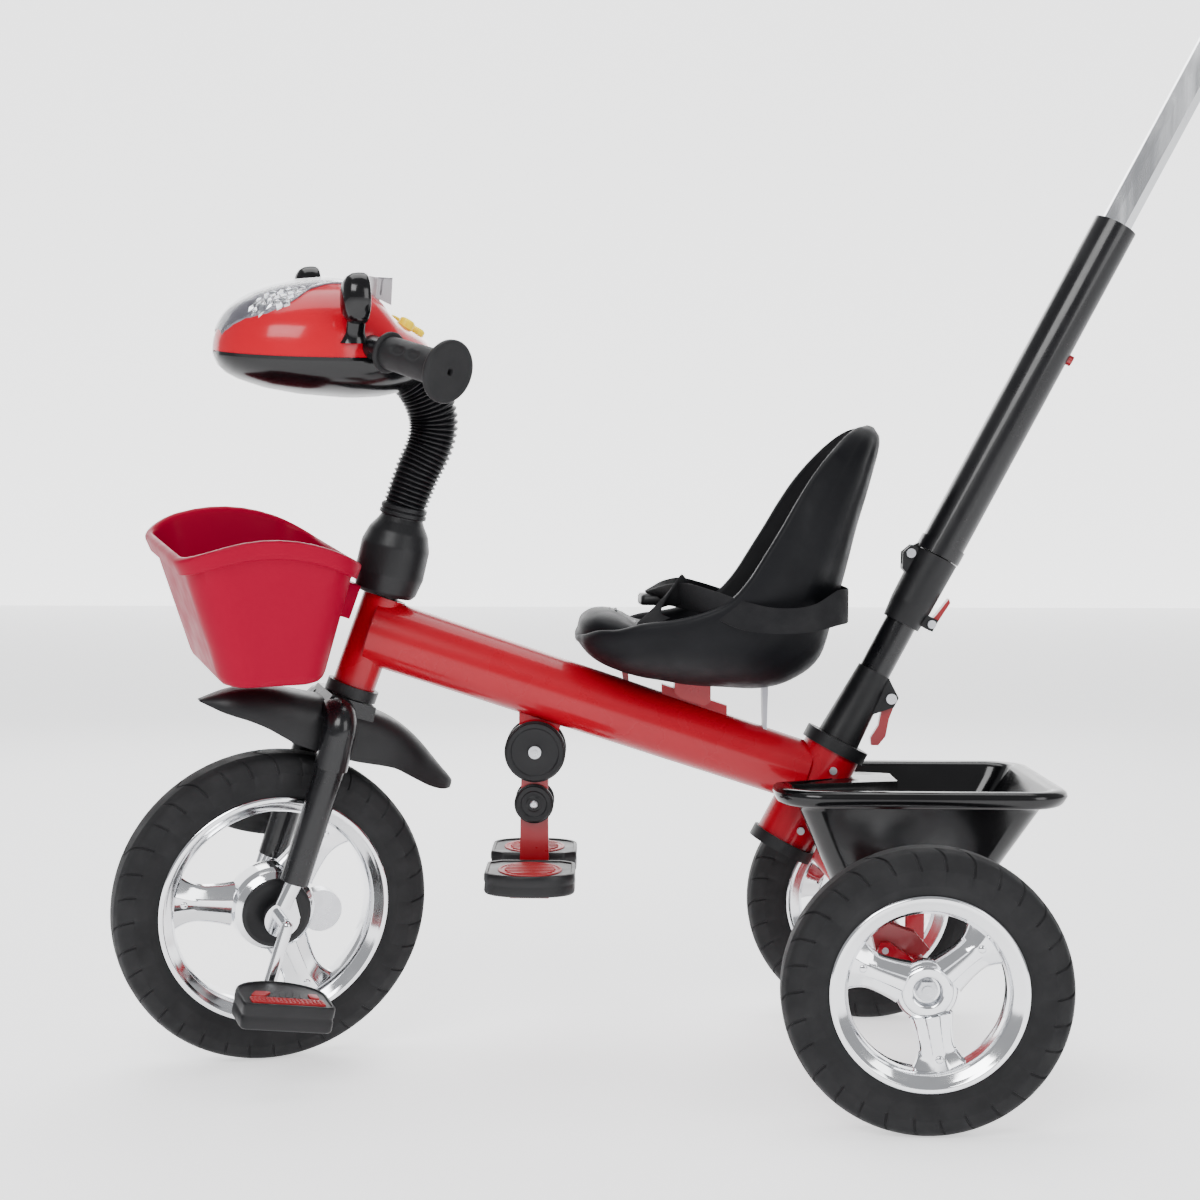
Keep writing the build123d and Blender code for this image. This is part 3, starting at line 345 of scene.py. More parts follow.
def grid_faces(rows, cols, closed):
    """Quads between neighbouring rings, and from the last to the first if closed."""
    faces = []
    for r in range(rows if closed else rows - 1):
        here, after = r * cols, (r + 1) % rows * cols
        for c in range(cols):
            c2 = (c + 1) % cols
            faces.append((here + c, here + c2, after + c2, after + c))
    return faces


def loft_mesh(rings, closed=False):
    """Skin over rings of equal point counts, with flat ends unless closed into a ring."""
    cols = len(rings[0])
    verts = [p for ring in rings for p in ring]
    faces = grid_faces(len(rings), cols, closed)
    if not closed:
        faces.append(tuple(reversed(range(cols))))
        faces.append(tuple(range(len(verts) - cols, len(verts))))
    return verts, faces


def joined(*parts):
    """Several (verts, faces) pairs as one."""
    verts, faces = [], []
    for v, f in parts:
        faces += [tuple(i + len(verts) for i in face) for face in f]
        verts += list(v)
    return verts, faces


def slab(outline, levels):
    """An (x, z) outline carried across these y."""
    return loft_mesh([[Vector((x, y, z)) for x, z in outline] for y in levels])


def moved(part, matrix):
    return [matrix @ v for v in part[0]], part[1]


def placed(matrix, part):
    """A part in millimetres, in metres where the matrix puts it."""
    return [matrix @ (Vector(v) * MM) for v in part[0]], part[1]


def turns(count):
    """Even angles round a circle."""
    return [2 * pi * i / count for i in range(count)]


def lathe(profile, segments=96, closed=True):
    """Revolves (radius, y) points about the local Y axis. A closed profile is a ring's section."""
    rings = [[Vector((r * cos(a), y, r * sin(a))) for a in turns(segments)] for r, y in profile]
    return loft_mesh(rings, closed)


def rounded(points, radius, steps=4, closed=True):
    """A 2-D outline with its corners rounded; radius is one number or one for each point."""
    out = []
    n = len(points)
    for i, p in enumerate(points):
        r = radius[i] if isinstance(radius, (list, tuple)) else radius
        p = Vector(p)
        if r <= 0 or (not closed and i in (0, n - 1)):
            out.append(tuple(p))
            continue
        before, after = Vector(points[i - 1]) - p, Vector(points[(i + 1) % n]) - p
        half = before.angle(after) / 2
        reach = min(r / tan(half), before.length * 0.49, after.length * 0.49)
        a, b = p + before.normalized() * reach, p + after.normalized() * reach
        for k in range(steps + 1):
            t = k / steps
            out.append(tuple(a * (1 - t) ** 2 + p * 2 * t * (1 - t) + b * t ** 2))
    return out


def frames_along(points):
    """Tangent and two square directions at each point, without twist."""
    tangents = []
    for i in range(len(points)):
        a, b = points[max(i - 1, 0)], points[min(i + 1, len(points) - 1)]
        tangents.append((b - a).normalized())
    side = tangents[0].orthogonal().normalized()
    out = []
    for t in tangents:
        side = (side - t * side.dot(t)).normalized()
        out.append((t, side, t.cross(side)))
    return out


def sweep_mesh(points, section):
    """Moves a section along points: section(i) gives the (u, v) outline at point i."""
    rings = []
    for i, (p, (_, u, v)) in enumerate(zip(points, frames_along(points))):
        rings.append([p + u * a + v * b for a, b in section(i)])
    return loft_mesh(rings)


def circle(r, n):
    return [(r * cos(a), r * sin(a)) for a in turns(n)]


def catmull(points, steps):
    """Smooth line through points."""
    out = []
    pts = [points[0] * 2 - points[1]] + list(points) + [points[-1] * 2 - points[-2]]
    for i in range(1, len(pts) - 2):
        a, b, c, d = pts[i - 1], pts[i], pts[i + 1], pts[i + 2]
        for k in range(steps):
            t = k / steps
            out.append(0.5 * ((2 * b) + (c - a) * t + (2 * a - 5 * b + 4 * c - d) * t * t
                              + (3 * b - a - 3 * c + d) * t ** 3))
    out.append(pts[-2])
    return out


def basis(origin, x, y, z):
    """Matrix of a local frame with these directions."""
    m = Matrix((x, y, z)).transposed().to_4x4()
    m.translation = origin
    return m


# ---------------------------------------------------------------- wheels
class Wheel:
    """One wheel: its frame at rest, sizes in millimetres and the way its outer side looks."""

    def __init__(self, name, joint, radius, lip, hub, spoke_angle, spoke_width, outer):
        self.name, self.body = name, joint.removesuffix("_spin")
        self.radius, self.lip, self.hub = radius, lip, hub
        self.spoke_angle, self.spoke_width, self.outer = spoke_angle, spoke_width, outer
        axis = Vector(joints[joint]["axis"])
        up = AHEAD.to_3x3() @ Vector((0, 0, 1)) if name == "front" else Vector((0, 0, 1))
        self.matrix = basis(Vector(joints[joint]["pos_m"]), axis.cross(up), axis, up)

    def add(self, suffix, part, material, replaced=(), angle=40.0):
        """A piece given in the wheel's own millimetres."""
        part = placed(self.matrix, part)
        add_piece(f"{self.name}_{suffix}", *part, material, self.body, replaced, angle)

    def spin(self, turn_deg):
        """Turns a spoke from straight ahead to its place."""
        return Matrix.Rotation(-radians(self.spoke_angle + turn_deg), 3, "Y")


def tyre_profile(wheel):
    """Half section from the crown to the bead: (radius, y, distance along the skin)."""
    r, lip = wheel.radius, wheel.lip
    corner = rounded(
        [(r, 0), (r - 0.4, 9), (r - 4.0, 18.5), (r - 17, 22.3), (lip + 9, 21.6), (lip + 1.2, 19.5)],
        [0, 6, 9, 8, 5, 0], 6, False)
    out, along = [], 0.0
    for i, (rad, y) in enumerate(corner):
        if i:
            along += hypot(rad - corner[i - 1][0], y - corner[i - 1][1])
        out.append((rad, y, along))
    return out


def make_tyre(wheel, units, node):
    """Foam tyre with hooked sipes that run from the shoulder towards the crown."""
    half = tyre_profile(wheel)
    # Along the skin from the crown: where the sipes end, and a fine moulding line.
    shoulder, line_at, line_half, line_deep = 34.0, 43, 1.2, 0.35
    sweep_back, sipe_deep, fade = 20.0, 1.5, 2.5
    # Place in the unit, distance from the crown where it starts, share of the depth.
    sipes = [(0.04, 3.0, 1.0), (0.37, 15.0, 0.9), (0.69, 9.0, 0.95)]
    unit_angle = 2 * pi / units
    unit_length = unit_angle * wheel.radius
    columns = []
    for place, reach, deep in sipes:
        for offset, depth in ((-1.5, 0.0), (-0.7, 1.0), (0.7, 1.0), (1.5, 0.0)):
            columns.append((place + offset / unit_length, depth * deep, reach))
        for gap in (0.1, 0.19):
            columns.append((place + gap, 0.0, reach))
    columns.sort()
    skin = [(r, -y, -s) for r, y, s in reversed(half[1:])] + half
    rings = []
    for rad, y, along in skin:
        t = abs(along)
        hook = sweep_back * max(0.0, 1 - t / shoulder) ** 2
        line = line_deep if abs(t - line_at) < line_half else 0.0
        ring = []
        for u in range(units):
            for place, depth, reach in columns:
                cut = sipe_deep * depth * clamp((t - reach) / fade) * clamp((shoulder - t) / fade)
                angle = (u + place) * unit_angle - hook / wheel.radius
                r = rad - cut - line
                ring.append(Vector((r * cos(angle), y * (1 - cut * 0.03), r * sin(angle))))
        rings.append(ring)
    inner = wheel.lip - 4.5
    for y in (16.5, -16.5):
        rings.append([Vector((inner * cos(a), y, inner * sin(a))) for a in turns(len(ring))])
    wheel.add("tread_tyre", loft_mesh(rings, closed=True), TYRE, (node,), 50)


def make_rim(wheel, node):
    """Metallised rim: rolled lips, a deep drop, a stepped hub and flared spokes with rivets."""
    lip = wheel.lip
    side = [(lip + 1.0, 19.6), (lip - 1.5, 21.3), (lip - 4.5, 21.3), (lip - 7.5, 19.0), (lip - 13.5, 15.0),
            (lip - 16.5, 11.0), (lip - 17.2, 4.0)]
    outline = side + [(r, -y) for r, y in reversed(side)]
    back = [(lip - 6, -17), (lip - 12, -8), (lip - 12, 8), (lip - 6, 17)]
    profile = rounded(outline + back, [1.2, 2, 2, 3, 3, 2, 3] * 2 + [1, 3, 3, 1], 4)
    spokes = [spoke_mesh(wheel, angle) for angle in SPOKE_ANGLES]
    wheel.add("plated_rim", joined(lathe(profile, 160), *spokes, hub_mesh(wheel)), RIM, (node,), 38)
    wheel.add("spoke_rivets", joined(*[rivet_mesh(wheel, angle) for angle in SPOKE_ANGLES]), RIM)


def spoke_mesh(wheel, turn_deg):
    """One spoke: crowned section, waisted in the middle and flared into the rim."""
    root, tip = wheel.hub - 2.5, wheel.lip - 14.5
    rings = []
    steps = 14
    for i in range(steps + 1):
        t = i / steps
        r = root + (tip - root) * t
        flare = 1.0 + 0.9 * max(0.0, (t - 0.45) / 0.55) ** 2.2 + 0.25 * (1 - t) ** 3
        half = wheel.spoke_width / 2 * flare
        thick = 8.0 + 1.5 * max(0, t - 0.7) / 0.3 + 2.0 * (1 - t) ** 2
        section = [(-half * a, thick * b) for a, b in SPOKE_HALF]
        section += [(half * a, thick * b) for a, b in reversed(SPOKE_HALF)]
        section += [(half * 0.7, -thick * 0.8), (-half * 0.7, -thick * 0.8)]
        rings.append([Vector((r, y * wheel.outer, z)) for z, y in section])
    return moved(loft_mesh(rings), wheel.spin(turn_deg))


def rivet_mesh(wheel, turn_deg):
    """Small domed rivet near each spoke's outer end."""
    r = wheel.lip - 26
    dome = [(0.01, 11.4), (2.2, 11.3), (3.3, 10.6), (3.8, 9.4), (5.6, 9.2), (6.2, 8.4), (6.2, 4.0),
            (0.01, 4.0)]
    verts, faces = lathe(dome, 24, closed=False)
    verts = [Vector((v.x, v.y * wheel.outer, v.z)) + Vector((r, 0, 0)) for v in verts]
    return moved((verts, faces), wheel.spin(turn_deg))


def hub_mesh(wheel):
    """Stepped hub drum; a rear hub has its dish on the wheel's outer side."""
    h, o = wheel.hub, wheel.outer
    if wheel.body == "front_wheel":
        side = [(6.2, 23.5), (h - 9, 23.5), (h - 6, 21), (h - 2, 18), (h, 10)]
        profile = [(r, -y) for r, y in side] + side[::-1]
    else:
        side = [
            (5.3, -23.5), (h - 4, -23.5), (h - 2, -20), (h - 1, -9), (h + 3, -6), (h + 3, 2), (h + 1, 4.5),
            (h - 2.0, 4.8), (h - 2.4, 7.4), (h - 4.4, 8.4), (14.5, 8.4), (12.6, 7.6), (12.2, -0.8),
            (5.3, -0.8)]
        profile = [(r, y * o) for r, y in side]
    return lathe(rounded(profile, 1.0, 3), 96)


# Each wheel with its CAD tyre and rim.
WHEELS = [
    (Wheel("front", "front_wheel_spin", 154.0, 113.0, 41.0, 7.0, 34.0, 1), "front_tyre", "front_rim"),
    (Wheel("rear_left", "rear_wheel_left_spin", 125.0, 85.0, 24.0, 20.0, 30.0, 1),
     "rear_tyre_left", "rear_rim_left"),
    (Wheel("rear_right", "rear_wheel_right_spin", 125.0, 85.0, 24.0, 20.0, 30.0, -1),
     "rear_tyre_right", "rear_rim_right"),
]
SPOKE_ANGLES = (0, 120, 240)
# Half of a spoke's section from its side to its crown: shares of its half width and thickness.
SPOKE_HALF = [(1, -0.35), (1, 0.35), (0.82, 0.78), (0.36, 0.98), (0.30, 1.12), (0.18, 1.16)]


def make_wheels():
    """Tyres, rims and the two discs on the front hub."""
    for wheel, tyre, rim in WHEELS:
        make_tyre(wheel, 12 if wheel.name == "front" else 10, tyre)
        make_rim(wheel, rim)
    discs = []
    for s, y in ((1, 28.0), (-1, -28.0)):
        profile = [(6.3, y), (30, y), (33.5, y - s * 1.5), (34, y - s * 5), (6.3, y - s * 5)]
        discs.append(lathe(rounded(profile, 1.0, 3), 72))
    WHEELS[0][0].add("hub_discs", joined(*discs), BLACK_PLASTIC)


# ---------------------------------------------------------------- seat
# Stations from the nose to the top of the back: centre of the sitting surface (x, z), half width,
# and the rim's (x, z) there; all in millimetres from the rear axle.
SEAT_STATIONS = [
    ((303, 424), 36, (301, 417)), ((299, 436), 58, (294, 417)), ((286, 443), 76, (281, 420)),
    ((266, 441), 90, (263, 421)), ((245, 428), 98, (241, 427)), ((222, 410), 104, (213, 431)),
    ((197, 398), 108, (187, 438)), ((165, 391), 110, (165, 448)), ((132, 389), 111, (147, 466)),
    ((106, 394), 110, (130, 492)), ((89, 411), 108, (115, 516)), ((79, 440), 104, (102, 538)),
    ((71, 476), 97, (89, 558)), ((64, 512), 88, (77, 574)), ((57, 545), 78, (66, 587)),
    ((51, 572), 66, (57, 597)), ((45, 593), 52, (48, 606)), ((38, 607), 36, (40, 612)),
    ((31, 613), 20, (32, 614.5))]
# Underside and back of the shell at the same stations: centre (x, z).
SEAT_UNDER = [
    (302, 411), (292, 399), (279, 390), (262, 383), (243, 377.5), (222, 374), (197, 370), (165, 368),
    (130, 367), (100, 375), (74, 396), (61, 438), (50, 478), (40, 518), (31, 548), (24, 573), (19, 592),
    (18, 604), (22, 612)]
# Radius of the rolled rim there.
SEAT_ROLL = [2.0, 4.0, 5.5] + [6.0] * 10 + [5.5, 5.0, 4.5, 3.6, 2.2, 1.0]


def seat_ring(index, count=15):
    """Closed section: across the sitting surface, over the rolled rim, back under the shell."""
    (cx, cz), width, (ex, ez) = SEAT_STATIONS[index]
    ux, uz = SEAT_UNDER[index]
    centre, edge, under = Vector((cx, 0, cz)), Vector((ex, 0, ez)), Vector((ux, 0, uz))
    roll = SEAT_ROLL[index]
    inner_width = max(4.0, width - 2 * roll)
    rise = edge - centre
    drop = edge - under
    angles = [(pi / 2) * i / count for i in range(count + 1)]
    top = []
    for phi in angles:
        y = inner_width * sin(phi) ** (2 / 2.4)
        top.append(centre + rise * (1 - cos(phi) ** (2 / 2.4)) + Vector((0, y, 0)))
    out = drop.normalized()
    rim = []
    for i in range(1, 7):
        theta = pi * i / 7
        y = inner_width + roll * (1 - cos(theta))
        rim.append(edge + out * (roll * sin(theta)) + Vector((0, y, 0)))
    low = []
    for phi in reversed(angles):
        y = width * sin(phi) ** (2 / 2.3)
        low.append(under + drop * (1 - cos(phi) ** (2 / 2.3)) + Vector((0, y, 0)))
    half = top + rim + low
    return half + flipped(reversed(half[1:-1]))


def smooth_stations(rings, steps):
    """Adds stations between the given ones along smooth lines."""
    lines = [catmull([ring[k] for ring in rings], steps) for k in range(len(rings[0]))]
    return [[line[i] for line in lines] for i in range(len(lines[0]))]


def make_seat():
    """Moulded shell with closed tips, creases behind and seven ribs on its nose."""
    rings = smooth_stations([seat_ring(i) for i in range(len(SEAT_STATIONS))], 5)
    tips = []
    for ring, way in ((rings[0], Vector((1.6, 0, -0.6))), (rings[-1], Vector((-0.6, 0, 1.2)))):
        middle = sum(ring, Vector()) / len(ring)
        caps = ((0.86, 0.8), (0.55, 1.5), (0.2, 1.9))
        tips.append([[middle + (p - middle) * k + way * s for p in ring] for k, s in caps])
    rings = list(reversed(tips[0])) + rings + tips[1]
    crease(rings)
    fixed_piece("moulded_seat", loft_mesh(rings), SEAT_BLACK, "seat", ("seat_shell",), 60)
    ribs = []
    for i in range(7):
        x = 272 - i * 6.0
        z = seat_top(x) + 0.3
        half = 26 * sqrt(max(0.1, 1 - ((i - 3) / 4.4) ** 2))
        line = [Vector((x, half * k / 6, z - 0.0022 * (half * k / 6) ** 2)) for k in range(-6, 7)]
        ribs.append(sweep_mesh(line, lambda i: circle(1.5, 10)))
    fixed_piece("seat_nose_ribs", joined(*ribs), SEAT_BLACK, "seat")


def seat_top(x):
    """Height of the sitting surface on the centre line."""
    return read_off(sorted(centre for centre, _, _ in SEAT_STATIONS[:6]), x)


def crease(rings):
    """Presses two grooves into the outer side of the shell, a little below the rim."""
    for n, ring in enumerate(rings):
        t = n / (len(rings) - 1)
        deep = 2.8 * clamp((t - 0.42) * 8) * clamp((0.93 - t) * 10)
        size = len(ring)
        for k in (25, 29):
            for index in (k, (size - k) % size):
                p = ring[index]
                inwards = Vector((p.x, 0, p.z)) - p
                ring[index] = p + inwards.normalized() * deep if inwards.length > 1 else p


def ribbon(route, side=1, thick=1.8):
    """Flat strap along a route of (point, half width vector) pairs."""
    points = catmull([Vector((x, side * y, z)) for (x, y, z), _ in route], 6)
    widths = catmull([Vector((x, side * y, z)) for _, (x, y, z) in route], 6)
    rings = []
    for i, (p, w) in enumerate(zip(points, widths)):
        a, b = points[max(i - 1, 0)], points[min(i + 1, len(points) - 1)]
        normal = (b - a).cross(w).normalized() * (thick / 2)
        edge = w.normalized() * 0.7
        rings.append([p - w + normal * 0.4, p - w + edge + normal, p + w - edge + normal,
                      p + w + normal * 0.4, p + w - normal * 0.4, p + w - edge - normal,
                      p - w + edge - normal, p - w - normal * 0.4])
    return loft_mesh(rings)


def make_belt():
    """Lap strap with a loose end and a buckle."""
    # From behind the back, along the side, over the rim and across the lap.
    lap = [
        ((52, 0, 449), (0, 0, 15.5)), ((53, 50, 449), (0, 0, 15.5)), ((57, 88, 449), (0, 0, 15.5)),
        ((68, 110, 448), (1, 2, 15.5)), ((92, 119, 439), (0, 2, 12)), ((122, 119, 437), (-1, 1, 11.5)),
        ((150, 114, 441), (-2, -2, 12.5)), ((176, 102, 450), (2, -6, 13)), ((196, 84, 456), (5, -6, 13)),
        ((212, 56, 456), (7, -3, 11)), ((222, 28, 454), (9, 0, 8)), ((228, 6, 452), (10, 0, 7))]
    strap = joined(ribbon(lap), ribbon(lap, -1))
    fixed_piece("lap_strap", strap, WEBBING, "seat", ("lap_belt",), 50)
    loose = [
        ((198, 62, 458), (3, 2, 14)), ((208, 66, 463), (-2, 3, 14)), ((221, 70, 456), (-9, 3, 12)),
        ((232, 74, 444), (-11, 1, 9)), ((236, 80, 436), (-11, -2, 6)), ((226, 84, 433), (-10, -4, 4))]
    fixed_piece("strap_loose_end", ribbon(loose), WEBBING, "seat", (), 50)
    outline = rounded([(-17, -22), (17, -22), (14, 22), (-14, 22)], 6, 5)
    buckle = [Vector((x, y, 0)) for x, y in outline]
    levels = ((0.93, -5), (1, -3.5), (1, 3), (0.9, 5.5))
    body = loft_mesh([[p * k + Vector((0, 0, z)) for p in buckle] for k, z in levels])
    place = Matrix.Translation(Vector((228, 0, 451)))
    fixed_piece("belt_buckle", moved(body, place), BLACK_PLASTIC, "seat", (), 50)


# ---------------------------------------------------------------- console
# The pod's middle, half length, half width and the power of its ovals, then its heights on the centre line.
POD_X, POD_HALF, POD_WIDE, POD_POWER = 550.0, 102.0, 78.0, 2.25
CREST = [(448, 696), (456, 701), (470, 709), (489, 720), (503, 738), (520, 750), (545, 753), (577, 750),
         (607, 743), (634, 729), (645, 715), (650, 703), (652, 688)]
KEEL = [(448, 684), (456, 665), (470, 651), (500, 645.5), (529, 644.5), (577, 649), (609, 655), (637, 665),
        (648, 675), (652, 686)]


def half_width(x):
    """Half width of the console at its seam: blunt behind, pointed ahead."""
    t = clamp((x - POD_X) / POD_HALF, -1.0)
    return POD_WIDE * (1 - abs(t) ** 2.3) ** 0.5


def crest(x):
    """Height of the upper shell on the centre line, red part and canopy together."""
    return read_off(CREST, x)


def keel(x):
    """Height of the lower shell on the centre line."""
    return read_off(KEEL, x)


def seam(x):
    """Height of the seam, which rises a little towards the nose."""
    return 686.0 + 1.5 * (x - POD_X) / 100.0


CONSOLE_X = [
    450, 453, 458, 465, 474, 484, 494, 503, 512, 522, 534, 548, 562, 577, 592, 607, 620, 631, 640, 646, 650,
    651.6]


def arc(x, side_z, top_z, scale_y=1.0, count=20):
    """Half-oval section from one seam to the other, over the top."""
    width = half_width(x) * scale_y
    out = []
    for i in range(count + 1):
        phi = pi * i / count
        c, s = cos(phi), sin(phi)
        y = width * abs(c) ** (2 / POD_POWER) * (1 if c >= 0 else -1)
        out.append(Vector((x, y, side_z + (top_z - side_z) * abs(s) ** (2 / POD_POWER))))
    return out


def half_shell(tops, side, thick, inward):
    """A shell half: an outer skin and an inner one, closed along the seam."""
    rings = []
    for x in CONSOLE_X:
        width = half_width(x)
        shrink = max(0.2, (width - thick) / max(width, 1e-6)) if width > thick else 0.25
        inner = arc(x, side(x), tops(x) - inward * thick, shrink)
        rings.append(arc(x, side(x), tops(x)) + inner[::-1])
    return loft_mesh(rings)


def front_piece(name, part, material, replaced=(), angle=40.0, body="steering"):
    """A piece given in millimetres as if the wheel pointed straight ahead."""
    return add_piece(name, *placed(FRONT_END, part), material, body, replaced, angle)


def make_console():
    thick, gap = 2.5, 0.6
    upper = half_shell(crest, seam, thick, 1)
    front_piece("console_red_shell", upper, CONSOLE_RED, ("console_upper_shell",), 50)
    lower = half_shell(keel, lambda x: seam(x) - gap, thick, -1)
    front_piece("console_black_shell", lower, BLACK_GLOSS, ("console_lower_shell",), 50)
    band = []
    for x in CONSOLE_X:
        outer = half_width(x) + 0.7
        inner = max(outer - 3, 0.2)
        corners = ((outer, 1.2), (outer, -1.8), (inner, -1.8), (inner, 1.2))
        band.append([Vector((x, y, seam(x) + dz)) for y, dz in corners])
    sides = joined(loft_mesh(band), loft_mesh([flipped(ring) for ring in band]))
    front_piece("console_seam_band", sides, BLACK_GLOSS)
    make_canopy()
    make_lamps()
    make_buttons()
    for side, name in SIDES:
        make_mirror(side, name)


# The canopy's half width at each x, and the stations that the canopy and the lamp tray share.
CANOPY_HALF = [(514, 2), (518, 17), (526, 21), (536, 23), (548, 25), (560, 29), (572, 36), (583, 45),
               (594, 52), (606, 52), (620, 46), (634, 35), (644, 23), (650, 12), (653.5, 1)]
CANOPY_X = [524, 532, 543, 556, 570, 585, 600, 614, 627, 637, 644]


def canopy_y(x):
    """Half width of the canopy."""
    return read_off(CANOPY_HALF, x)


def surface_z(x, y, lift):
    """Height of the console's upper skin above a point."""
    q = min(1.0, abs(y) / max(half_width(x), 1e-6))
    return seam(x) + (crest(x) - seam(x)) * (1 - q ** POD_POWER) ** (1 / POD_POWER) + lift


def skin_sheet(xs, narrow, top_lift, shrink, low_lift, across=16):
    """Sheet that follows the console's upper skin between the canopy's edges."""
    rings = []
    for x in xs:
        half = canopy_y(x) * narrow
        row = [half * (1 - 2 * i / across) for i in range(across + 1)]
        top = [Vector((x, y, surface_z(x, y, top_lift))) for y in row]
        low = [Vector((x, y * shrink, surface_z(x, y * shrink, low_lift))) for y in reversed(row)]
        rings.append(top + low)
    return loft_mesh(rings)


def make_canopy():
    """Clear moulding over the nose and top, with a windscreen standing at its rear."""
    lid = skin_sheet([516, 519] + CANOPY_X + [648.5], 1, 3.2, 0.97, 1.5)
    front_piece("clear_nose_canopy", lid, CANOPY, ("clear_canopy",), 45)
    base, tip = 740.0, 756.5
    screen = []
    for y, back in [(-20, 3.5), (-19, 1.0), (-12, 0.2), (0, 0), (12, 0.2), (19, 1.0), (20, 3.5)]:
        corners = ((505, base), (503, tip), (501, tip), (503, base))
        screen.append([Vector((x - back, y, z)) for x, z in corners])
    cheek = [(505, 738), (503, tip), (489, 756), (490, 731)]
    cheeks = [slab(cheek, (s * 18.5, s * 20)) for s in (1, -1)]
    roof = slab([(503, tip), (489, 756), (489, 754.6), (503, 755.1)], (-20, 20))
    front_piece("console_windscreen", joined(loft_mesh(screen), *cheeks, roof), SCREEN_GREY)


def make_lamps():
    """Dark tray under the canopy, with a cluster of bright tilted facets for each headlight."""
    tray = skin_sheet([518] + CANOPY_X + [648], 0.985, 1.1, 0.99, -0.6)
    front_piece("lamp_tray", tray, TRAY_GREY)
    draw = np.random.default_rng(7)
    corners = ((-2.6, -2.1), (2.6, -2.1), (2.6, 2.1), (-2.6, 2.1))
    faces = [(3, 2, 1, 0)] + [(k, (k + 1) % 4, 4 + (k + 1) % 4, 4 + k) for k in range(4)]
    faces += [(4 + k, 4 + (k + 1) % 4, 8) for k in range(4)]
    cells = []
    for s, ix, iy in product((1, -1), range(9), range(5)):
        x = 576 + ix * 6.8 + 1.8 * (iy % 2)
        y = 27 + iy * 5.4
        if ((x - 602) / 32) ** 2 + ((y - 39) / 14) ** 2 > 1 or y > canopy_y(x) - 3:
            continue
        tilt = draw.uniform(-1.3, 1.3, 4)
        lid = []
        for (dx, dy), up in zip(corners, tilt):
            lid.append(Vector((x + dx, s * (y + dy), surface_z(x + dx, y + dy, 1.4) + abs(up) * 0.5)))
        base = [p - Vector((0, 0, 2.4)) for p in lid]
        tip = Vector((x + tilt[0], s * (y + tilt[1]), surface_z(x, y, 2.6)))
        cells.append((base + lid + [tip], faces))
    front_piece("lamp_reflector_cells", joined(*cells), RIM, ("headlights",), 5)


def make_buttons():
    """Three yellow horn buttons on the sloping rear panel."""
    slope = atan2(45, 78)
    normal = Vector((-sin(slope), 0, cos(slope)))
    along = Vector((cos(slope), 0, sin(slope)))
    cap = [(0.01, -4.4), (7.6, -4.4), (7.6, 6.4), (6.0, 8.0), (2.6, 7.5), (0.01, 7.4)]
    cap = lathe(rounded(cap, [0, 0.3, 0.8, 1, 0.5, 0], 3), 32, closed=False)
    for i, (x, y) in enumerate([(476, 17), (476, -17), (461, 0)]):
        spot = Vector((x, y, 684 + (x - 430) * tan(slope)))
        part = moved(cap, basis(spot, along, normal, along.cross(normal)))
        body = f"horn_button_{i + 1}"
        front_piece(f"yellow_button_{i + 1}", part, YELLOW, (body,), 50, body)


def make_mirror(side, name):
    """Oval mirror: a rounded black housing with a glass face and a neck that flares into the shell."""
    mid_x, mid_y, mid_z = 540.5, 85, 740
    half_y, half_z = 17, 23

    def ovals(rows):
        return loft_mesh(
            [[Vector((mid_x - back, side * (mid_y + half_y * k * cos(a)), mid_z + half_z * k * sin(a)))
              for a in turns(48)] for back, k in rows])

    housing = ovals([(-15, 0.36), (-13.6, 0.64), (-10.6, 0.84), (-6, 0.96), (0, 1.0), (4.4, 1.0),
                     (7.2, 0.96), (8.0, 0.9), (7.6, 0.84), (6.4, 0.82)])
    neck = []
    for t in range(9):
        q = t / 8
        r = 7.0 + 4.5 * max(0.0, 1 - q * 2.4) ** 1.6
        y, z = 74.5 + 7.5 * q, 700 + 24 * q
        neck.append([Vector((mid_x + r * 1.25 * cos(a), side * (y + r * 0.8 * sin(a)), z))
                     for a in turns(24)])
    body = f"mirror_{name}"
    part = joined(housing, loft_mesh(neck))
    front_piece(f"mirror_housing_{name}", part, BLACK_GLOSS, (body,), 60, body)
    glass = ovals([(6.4, 0.80), (7.1, 0.80), (7.3, 0.3)])
    front_piece(f"mirror_glass_{name}", glass, CHROME, (), 40, body)


# ---------------------------------------------------------------- stem cover and hose
def to_front(points):
    """(a, h) or (a, h, y) points, a ahead of the steering axis and h up it, as straight-ahead millimetres."""
    out = []
    for a, h, *y in points:
        spot = (HEAD_X + a * RAKE_C - h * RAKE_S, y[0] if y else 0.0, HEAD_Z + a * RAKE_S + h * RAKE_C)
        out.append(Vector(spot))
    return out


